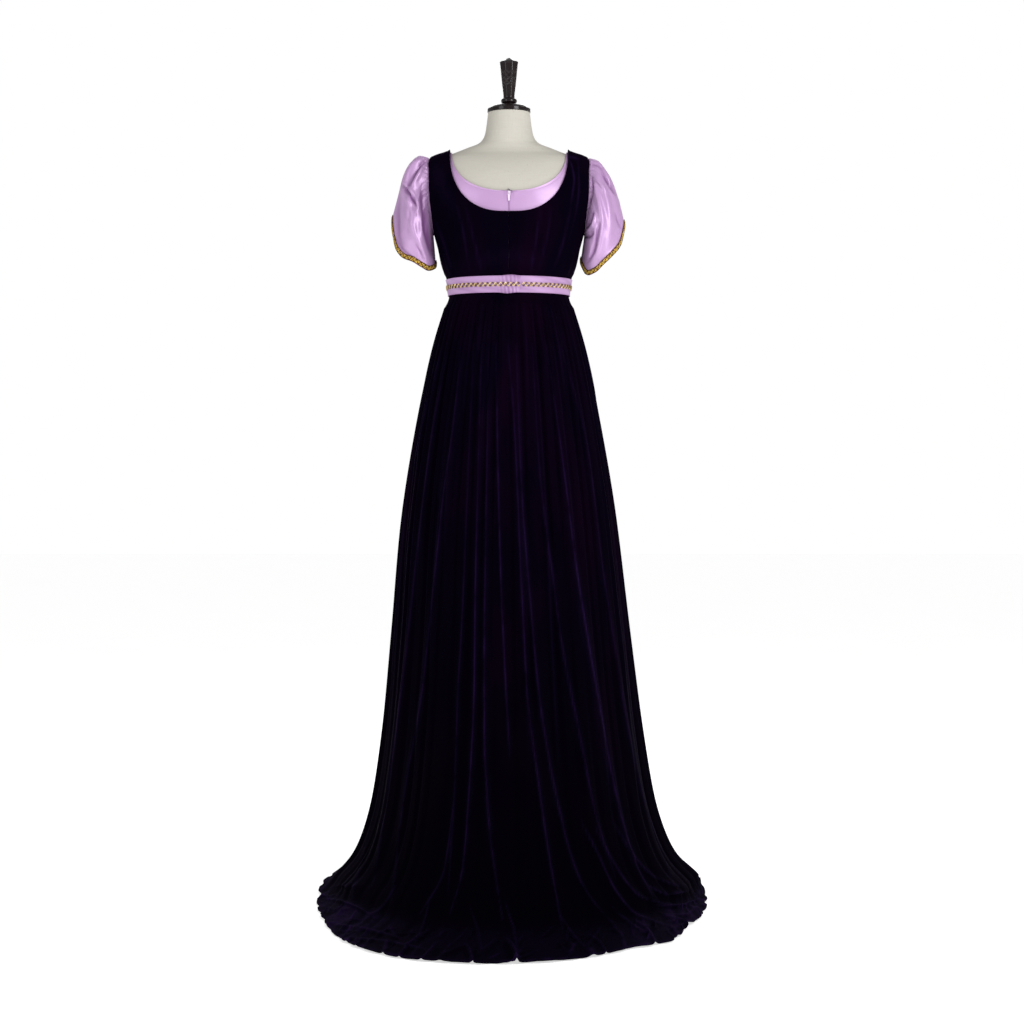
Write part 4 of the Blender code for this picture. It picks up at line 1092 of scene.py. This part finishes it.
# The folds that show in the view from behind: the (column, row) places each runs through, its height in
# millimetres, its half width in the view's pixels, and how bright the painted highlight along its ridge is.
SKIRT_FOLDS = (
    (((462, 344), (455, 420), (445, 495), (434, 600), (424, 690), (405, 800), (392, 905)), 7, 3.4, 0.55),
    (((474, 344), (468, 500), (463, 620), (459, 690), (455, 800), (448, 900)), 6, 3.0, 0.40),
    (((482, 344), (478, 500), (476, 600), (475, 690), (470, 790), (463, 870), (450, 915)), 7, 3.2, 0.80),
    (((489, 344), (486, 560), (485, 640), (485, 730), (490, 826), (503, 920)), 8, 3.6, 0.90),
    (((496, 344), (499, 500), (502, 600), (505, 665), (510, 755)), 7, 2.6, 0.90),
    (((508, 344), (514, 420), (522, 600), (527, 690), (537, 774), (550, 861), (563, 930)), 8, 3.6, 0.75),
    (((516, 344), (521, 480), (530, 600), (539, 696), (556, 796), (580, 880), (622, 935)), 7, 3.0, 0.70),
    (((532, 344), (540, 480), (550, 560), (561, 643), (578, 730), (596, 817), (616, 880)), 7, 3.0, 0.60),
    (
        ((546, 344), (563, 470), (574, 560), (587, 643), (600, 717), (613, 787), (634, 862), (652, 895)),
        8, 3.8, 0.90,
    ),
    (((560, 344), (585, 440), (600, 560), (612, 640), (625, 720), (640, 790), (672, 880)), 6, 3.0, 0.45),
    (((441, 352), (420, 440), (407, 500), (394, 643), (383, 730), (366, 843), (352, 900)), 6, 2.8, 0.55),
    (((449, 350), (434, 430), (418, 560), (412, 620), (402, 700), (388, 800), (374, 885)), 6, 2.8, 0.45),
    (((580, 820), (596, 850), (615, 890), (640, 917), (668, 926)), 6, 2.0, 0.60),
    (((596, 830), (614, 864), (640, 896), (674, 906)), 6, 2.0, 0.60),
    (((612, 820), (634, 858), (660, 880), (690, 888)), 5, 2.0, 0.40),
    (((620, 380), (628, 560), (640, 700), (654, 800), (668, 858)), 4, 2.4, 0.25),
    (((455, 800), (445, 870), (420, 915)), 6, 2.4, 0.50),
    (((400, 880), (385, 905), (360, 925)), 5, 2.0, 0.40),
    (((328, 899), (352, 905), (376, 919)), 6, 1.8, 0.55),
    (((335, 925), (365, 930), (402, 939)), 5, 1.6, 0.45),
    (((345, 938), (385, 942), (432, 951)), 4, 1.5, 0.40),
    (((322, 889), (345, 885), (372, 888)), 5, 1.6, 0.40),
    (((648, 886), (668, 894), (692, 890)), 5, 1.5, 0.55),
    (((655, 905), (680, 906), (704, 897)), 5, 1.5, 0.55),
    (((664, 915), (684, 916), (700, 905)), 4, 1.4, 0.45),
    (((668, 931), (682, 926), (694, 921)), 4, 1.3, 0.45),
    (((470, 905), (478, 930), (484, 958)), 4, 1.6, 0.35),
    (((505, 900), (514, 930), (519, 958)), 4, 1.6, 0.45),
    (((560, 915), (574, 936), (590, 952)), 4, 1.6, 0.35),
    (((610, 905), (632, 925), (654, 938)), 4, 1.6, 0.40),
    (((430, 900), (424, 925), (414, 946)), 4, 1.6, 0.35),
    (((508, 940), (515, 952), (520, 970)), 11, 1.8, 0.70),
    (((466, 944), (471, 953), (475, 972)), 7, 1.5, 0.50),
    (((636, 922), (648, 932), (658, 946)), 9, 1.8, 0.60),
    (((590, 935), (601, 944), (612, 962)), 5, 1.5, 0.40),
    (((422, 936), (410, 944), (396, 962)), 5, 1.6, 0.45),
    (((664, 916), (684, 922), (700, 934)), 6, 1.6, 0.50),
    (((630, 400), (622, 560), (625, 640), (634, 700)), 3, 6.0, 0.30),
)


def gather_lines():
    """(angle, fold) round the skirt from the left side seam through the back: a valley and a ridge a
    gather."""
    lines = []
    for start, count in ((0.0, BACK_GATHERS), (math.pi, FRONT_GATHERS)):
        widths = [irregular(k + count, 0.4) for k in range(count)]
        half = count // 2
        shares = [w / sum(widths[:half]) / 2 for w in widths[:half]]
        shares += [w / sum(widths[half:]) / 2 for w in widths[half:]]
        angle = start
        for k, share in enumerate(shares):
            for place, fold in ((0.0, -1.0), (0.32, 0.75), (0.70, 1.0)):
                depth = irregular(3 * k + count, 0.45)
                lines.append((angle + math.pi * share * place, fold * depth))
            angle += math.pi * share
    lines.append((2 * math.pi, lines[0][1]))
    return lines


fold_at = curve_through(*zip(*gather_lines()))
scatter = np.random.default_rng(11)
# Fine folds between the gathers: (angle, drift, start, end, width at the top, depth, painted highlight
# brightness) of each.
FINE_FOLDS = []
for start, stop, count in ((0.02, math.pi - 0.02, 64), (math.pi + 0.02, 2 * math.pi - 0.02, 40)):
    for k in range(count):
        FINE_FOLDS.append((
            start + (stop - start) * (k + 0.5 + scatter.uniform(-0.45, 0.45)) / count,
            scatter.uniform(-0.05, 0.05), scatter.uniform(1.283, 1.291),
            scatter.choice((1.10, 1.00, 0.90, 0.72, 0.50, 0.30)) + scatter.uniform(-0.05, 0.05),
            scatter.uniform(0.0016, 0.0028), scatter.uniform(0.0010, 0.0024), scatter.uniform(0.0, 0.40) ** 2,
        ))
# Creases of the train, in the same columns. They start and end at shares of the way from where the cloth
# first touches the floor to the hem, and their painted highlights are brightest at the sides.
CREASE_COUNT = 110
TRAIN_CREASES = []
for k in range(CREASE_COUNT):
    begin = scatter.uniform(0.05, 0.80)
    middle = -0.25 + (math.pi + 0.5) * (k + scatter.uniform(0.0, 1.0)) / CREASE_COUNT
    shown = 0.12 + 1.9 * np.cos(middle) ** 2 + 0.6 * (begin > 0.55)
    TRAIN_CREASES.append((
        middle, scatter.normal(0.0, 0.055), begin, begin + scatter.uniform(0.15, 0.60),
        scatter.uniform(0.0035, 0.0080), scatter.uniform(0.0015, 0.0048),
        shown * scatter.uniform(0.0, 0.75) ** 1.6,
    ))
# Where the outline stands out or in: places of the view, how far in millimetres, and half width in pixels.
BULGES = (
    (((686, 856), (694, 864), (701, 874)), 19, 4.5),
    (((680, 929), (669, 936), (659, 941), (642, 946)), 30, 4.2),
    (((694, 921), (690, 926)), -8, 2.4),
    (((330, 872), (326, 876)), -10, 2.6),
    (((333, 866), (329, 869)), 6, 2.0),
    (((318, 890), (316, 898)), -7, 3.5),
)


def run_folds(folds, angle, way, reach, widen, deepen, thin, here):
    """How far a table's folds stand out, and how bright the painted highlights on their crests are. way says
    how far along each place is."""
    raised, crest = 0.0, 0.0
    for middle, drift, begin, end, width, depth, bright in folds:
        gone = np.clip((way - begin) / (end - begin), 0, 1)
        aside = (angle - middle - drift * gone) * reach / (width * (1 + widen * gone))
        held = np.sin(math.pi * gone) ** 0.6 * here
        raised = raised + depth * (1 + deepen * gone) * held * hill(aside)
        crest = crest + bright * held * hill(thin * aside)
    return raised, crest


def lying_cloth(angle, share, spot, fold, broad):
    """The cloth on the floor, from the ring that first touches it out to the hem. With it come the way out at
    the hem, the hem's distance from the middle, and how far each place has settled."""
    hem_x, hem_y = oval(angle, HEM["half_width"], HEM["front"], HEM["back"], HEM["centre"], HEM["square"])
    swing = smooth((np.sin(angle) - TAIL_FROM) / (TAIL_FULL - TAIL_FROM))
    hem_out = unit(places(hem_x, hem_y - HEM["centre"], 0 * hem_x))
    hem = places(hem_x + HEM["drift"] + HEM["tail"] * swing, hem_y, 0 * hem_x)
    length = np.linalg.norm((hem - spot[-1:])[..., :2], axis=-1)
    lying = spot + (hem - spot) * share[..., None] + hem_out * (fold * HEM_WAVE * share)[..., None]
    settled = smooth(share * np.maximum(1.0, length / 0.08))
    low = VELVET_WALL + 0.0015
    drop = (SKIRT[-1][0] - low) * (1 - share) ** np.maximum(1.0, length / 0.034)
    ripple = 0.25 + 0.25 * np.clip(0.6 * fold + 0.6 * broad, -1, 1)
    lying[..., 2] = low + drop + LYING_RIPPLE * settled * ripple
    return lying, hem_out, np.hypot(hem_x, hem_y), settled


def skirt_top(angles, first):
    """Rings from the waist seam down to the skirt's first ring, which leave the bodice little by little."""
    rings = []
    for height in (WAIST_SEAM - SEAM_GAP / 2, *np.linspace(SEAM_RING, SKIRT[0][0], 9)[:-1]):
        close = off_body(angles, run_at(height), VELVET_OFF + VELVET_WALL)
        blend = max(0.0, (SEAM_RING - height) / (SEAM_RING - SKIRT[0][0]))
        ring = close + (first - close) * blend ** 1.3
        ring[:, 2] = height
        rings.append(ring)
    return np.stack(rings)


def skirt_skin(angles, levels):
    """Outer face of the skirt, and the painted highlight at each point, on fold crests and near the hem. A
    level is a row of the table, counted from the first; past the last row the cloth lies on the floor."""
    angle = angles[None, :]
    level = levels[:, None]
    on_floor = level > CONTACT
    knots = range(len(SKIRT))
    columns = zip(SKIRT_COLUMNS, zip(*SKIRT))
    at = {name: curve_through(knots, column)(np.clip(level, 0, CONTACT)) for name, column in columns}
    fold = fold_at(angle % (2 * math.pi))
    broad = np.sin(angle * 15 + 0.8 * np.sin(angle * 4))
    to_back = smooth((np.sin(angle) - 0.05) / 0.45)
    to_front = smooth((-np.sin(angle) - 0.05) / 0.45)
    x, y = oval(angle, at["half_width"], at["front"], at["back"], at["centre"], SKIRT_SQUARE)
    spot = places(x + at["drift"], y, at["height"])
    out = unit(places(x, y - at["centre"], 0 * x))
    push, crest = run_folds(FINE_FOLDS, angle, at["height"], np.hypot(x, y), 2.0, 0.6, 2.0, ~on_floor)
    push = push + fold * at["gather"] * (1 - 0.35 * to_back) + broad * at["flute"] * (1 - 0.60 * to_back)

    share = np.clip(level - CONTACT, 0, 1)
    lying, hem_out, hem_reach, settled = lying_cloth(angle, share, spot, fold, broad)
    lift = settled * on_floor
    away = unit(out * (1 - lift)[..., None] + np.array((0.0, 0.0, 1.0)) * lift[..., None])
    raised, shine = run_folds(TRAIN_CREASES, angle, share, hem_reach, 1.0, 0.0, 1.6, lift)
    skin = np.where(on_floor[..., None], lying, spot) + out * (push * (1 - lift))[..., None]
    skin = skin + away * raised[..., None]
    # Painted highlights near the hem and on the cloth lying at the sides, uneven along their length.
    wander = 0.6 + 0.4 * np.sin(37 * angle + 9 * np.sin(7 * angle))
    at_hem = 0.45 * np.clip((share - 0.93) / 0.05, 0, 1)
    at_sides = 0.50 * settled * np.clip(2.4 * np.cos(angle) ** 2 - 0.6, 0, 1)
    crest = crest + shine + (at_hem + at_sides) * wander

    columns, rows = in_view(skin)
    for line, height, half_width in BULGES:
        skin = skin + hem_out * (height / 1000 * along_line(columns, rows, line, half_width)[0])[..., None]
    columns, rows = in_view(skin)
    for facing, across in ((to_back, columns), (to_front, 2 * VIEW_MIDDLE[0] - columns)):
        for line, height, half_width, bright in SKIRT_FOLDS:
            ridge, nearest, fade = along_line(across, rows, line, half_width)
            skin = skin + away * (facing * height / 1000 * ridge)[..., None]
            # A thin painted highlight along the fold's ridge and a faint broad one beside it.
            painted_highlight = 0.85 * hill(nearest / CREST_HALF_WIDTH) + 0.13 * hill(nearest / half_width)
            crest = crest + facing * bright * fade * painted_highlight

    top = skirt_top(angles, skin[0])
    return np.concatenate([top, skin]), np.concatenate([np.zeros(top.shape[:2]), np.clip(crest, 0, 1)])


LEVELS = np.concatenate([np.linspace(0, CONTACT, 78)[:-1], CONTACT + np.linspace(0, 1, 46) ** 1.25])
for part, start, stop, columns, flat, area in (
    ("back_left", 0.0, math.pi / 2, 236, (1.05, 1.85), 1.10),
    ("back_right", math.pi / 2, math.pi, 236, (1.05, 1.85), 1.10),
    ("front", math.pi, 2 * math.pi, 190, (1.20, 1.55), 1.15),
):
    skin, crest = skirt_skin(np.linspace(start, stop, columns), LEVELS)
    for column, seam, toward in ((0, start, 1), (-1, stop, -1)):
        skin[:, column] += np.array((-math.sin(seam), math.cos(seam), 0)) * toward * -SEAM_GAP / 3
    piece = cloth(
        f"velvet_skirt_{part}", f"gown_skirt_{part}", skin, VELVET_WALL, velvet,
        middle=(0.0, 0.10), crest=crest,
    )


# The belt: a 35 mm band of the lilac satin over the waist seam, turned under along both edges and lapped over
# itself at centre back, where it puckers a little.
BELT_OFF = 0.0070
BELT_WALL = 0.0012
BELT_LAP = math.radians(9)
BELT_CLIMB = math.radians(26)
LAP_ROOM = 0.0006
BELT_START = math.pi / 2 - BELT_LAP
BELT_END = BELT_START + 2 * math.pi + 2 * BELT_LAP
LAP_MIDDLE = BELT_END - BELT_LAP


def belt_skin(heights, angles, off):
    climb = np.clip((angles - (BELT_END - 2 * BELT_LAP - BELT_CLIMB)) / BELT_CLIMB, 0, 1)
    return off_body(angles, run_at(heights), BELT_OFF + off + (BELT_WALL + LAP_ROOM) * climb)


def belt_relief(across, angles):
    """Soft creases along the band, edges that roll in, and the puckers at the lap."""
    edge = 0.0005 * (hill(across / 0.07) + hill((1 - across) / 0.07))
    ease = 0.0007 * np.sin(9 * angles + 5 * across) * np.sin(math.pi * across)
    near_lap = hill((angles - LAP_MIDDLE) / 0.13)
    pucker = 0.0022 * near_lap * np.sin(62 * angles + 2.5 * across) ** 2
    return np.maximum(edge + ease, -0.0004) + pucker


across, angles = np.meshgrid(np.linspace(0, 1, 13), np.linspace(BELT_START, BELT_END, 480), indexing="ij")
bulge = 0.0020 * hill((angles - LAP_MIDDLE - 0.05 * (across - 0.5)) / 0.085)
heights = BELT_LOW + (BELT_HIGH - BELT_LOW) * across + bulge * (2 * across - 1)
# Painted shade on the belt: a little darker all over, darker bands along it, a darker band down its middle
# under the braid, darker edges, and darker valleys between the puckers at the lap.
streaks = np.clip(np.sin(7 * angles + 9 * across) * np.sin(3.7 * angles + 4 * across), 0, 1)
shade = 0.12 + 0.30 * streaks + 0.22 * hill((across - 0.5) / 0.20) + 0.25 * (np.abs(across - 0.5) > 0.45)
shade = shade + 0.45 * hill((angles - LAP_MIDDLE) / 0.13) * np.cos(62 * angles + 2.5 * across) ** 2
belt = cloth(
    "satin_belt", "gown_belt", belt_skin(heights, angles, BELT_WALL + belt_relief(across, angles)), BELT_WALL,
    satin, crest=np.clip(shade, 0, 0.8),
)


# The belt braid: gimp 10 mm wide, a pair of gold cords and a pair of brown ones that cross in a zigzag with
# the satin showing between them. It is sewn along the middle of the belt, up to the lap.
BELT_BRAID_WIDTH = 0.0104
GIMP_PERIOD = 0.0112
GIMP_SPACING = 0.00085
pale_gold = gold_finish("pale_gold_thread", (0.980, 0.780, 0.360), (0.720, 0.500, 0.180), 0.34)
shown = np.linspace(BELT_START + 2 * BELT_LAP + math.radians(2), BELT_END - 0.004, 900)
centre_line, upper_line = (
    belt_skin((BELT_LOW + BELT_HIGH) / 2 + above, shown, BELT_WALL) for above in (0, 0.004)
)
upward = unit(upper_line - centre_line)
outward = unit(np.cross(np.gradient(centre_line, axis=0), upward))
middle, middle_up, middle_out, wanted, length = resampled(centre_line, GIMP_SPACING, False, upward, outward)
if (middle_out[:, :2] * middle[:, :2]).sum() < 0:
    middle_out = -middle_out
phase = 2 * math.pi * round(length / GIMP_PERIOD) * wanted / length
parts, dark_parts = [], []
for strand, group, radius in ((0, parts, 0.00060), (math.pi, dark_parts, 0.00050)):
    sway = (BELT_BRAID_WIDTH / 2 - 0.0011) * np.arcsin(0.96 * np.sin(phase + strand)) / 1.287
    rise = 0.0015 + 0.0005 * np.cos(phase + strand)
    group += cord_pair((middle, middle_up, middle_out), sway, rise, radius, radius, 0.8)
gimp = put_mesh("belt_gimp", *join(parts), pale_gold, sharp=80)
gimp_core = put_mesh("belt_gimp_core", *join(dark_parts), brown_cord, sharp=80)
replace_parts(gimp, "gown_belt_braid")


# The studio: a plain pale floor, a white surround, a large soft box at the photograph's right, a weaker one
# at its left and one above the front, and the camera at the photograph's distance and height.
def studio_floor():
    floor = Finish("studio_floor", Roughness=0.9, Emission_Strength=0.68)
    tone = floor.noise(2.0, 2)
    white = floor.mix(tone, (0.90, 0.90, 0.90), (0.92, 0.92, 0.92))
    return floor.finish(Base_Color=white, Emission_Color=white)


mesh = bpy.data.meshes.new("studio_floor")
mesh.from_pydata([(-30, -30, 0), (30, -30, 0), (30, 30, 0), (-30, 30, 0)], [], [(0, 1, 2, 3)])
mesh.materials.append(studio_floor().material)
floor = bpy.data.objects.new("studio_floor", mesh)
bpy.context.scene.collection.objects.link(floor)

world = bpy.data.worlds.new("studio")
bpy.context.scene.world = world
world.use_nodes = True
surround = world.node_tree.nodes["Background"]
surround.inputs["Color"].default_value = (1.0, 1.0, 1.0, 1.0)
path = world.node_tree.nodes.new("ShaderNodeLightPath")
level = world.node_tree.nodes.new("ShaderNodeMapRange")
level.inputs["To Min"].default_value = 0.40
level.inputs["To Max"].default_value = 1.0
world.node_tree.links.new(path.outputs["Is Camera Ray"], level.inputs["Value"])
world.node_tree.links.new(level.outputs["Result"], surround.inputs["Strength"])

for name, where, size, power in (
    ("key", (-2.7, 3.3, 2.5), (1.6, 2.4), 94),
    ("fill", (3.0, 3.4, 2.6), (1.8, 2.4), 34),
    ("front", (0.0, -3.6, 2.8), (2.4, 2.0), 40),
):
    lamp = bpy.data.lights.new(name, "AREA")
    lamp.shape = "RECTANGLE"
    lamp.size, lamp.size_y = size
    lamp.energy = power
    light = bpy.data.objects.new(name, lamp)
    light.location = where
    aim = np.array((0.0, 0.0, 1.0)) - np.array(where)
    light.rotation_euler = (
        math.atan2(math.hypot(aim[0], aim[1]), -aim[2]), 0.0, math.atan2(aim[0], -aim[1]) + math.pi,
    )
    bpy.context.scene.collection.objects.link(light)

lens = bpy.data.cameras.new("photograph")
lens.sensor_width = 36.0
lens.lens = VIEW_SCALE / 1024 * lens.sensor_width
lens.shift_y = (VIEW_MIDDLE[1] - 512) / 1024
camera = bpy.data.objects.new("photograph", lens)
camera.location = (-0.0067, VIEW_AWAY, VIEW_HEIGHT)
camera.rotation_euler = (math.pi / 2, 0.0, math.pi)
bpy.context.scene.collection.objects.link(camera)
bpy.context.scene.camera = camera
bpy.context.scene.view_settings.view_transform = "Standard"
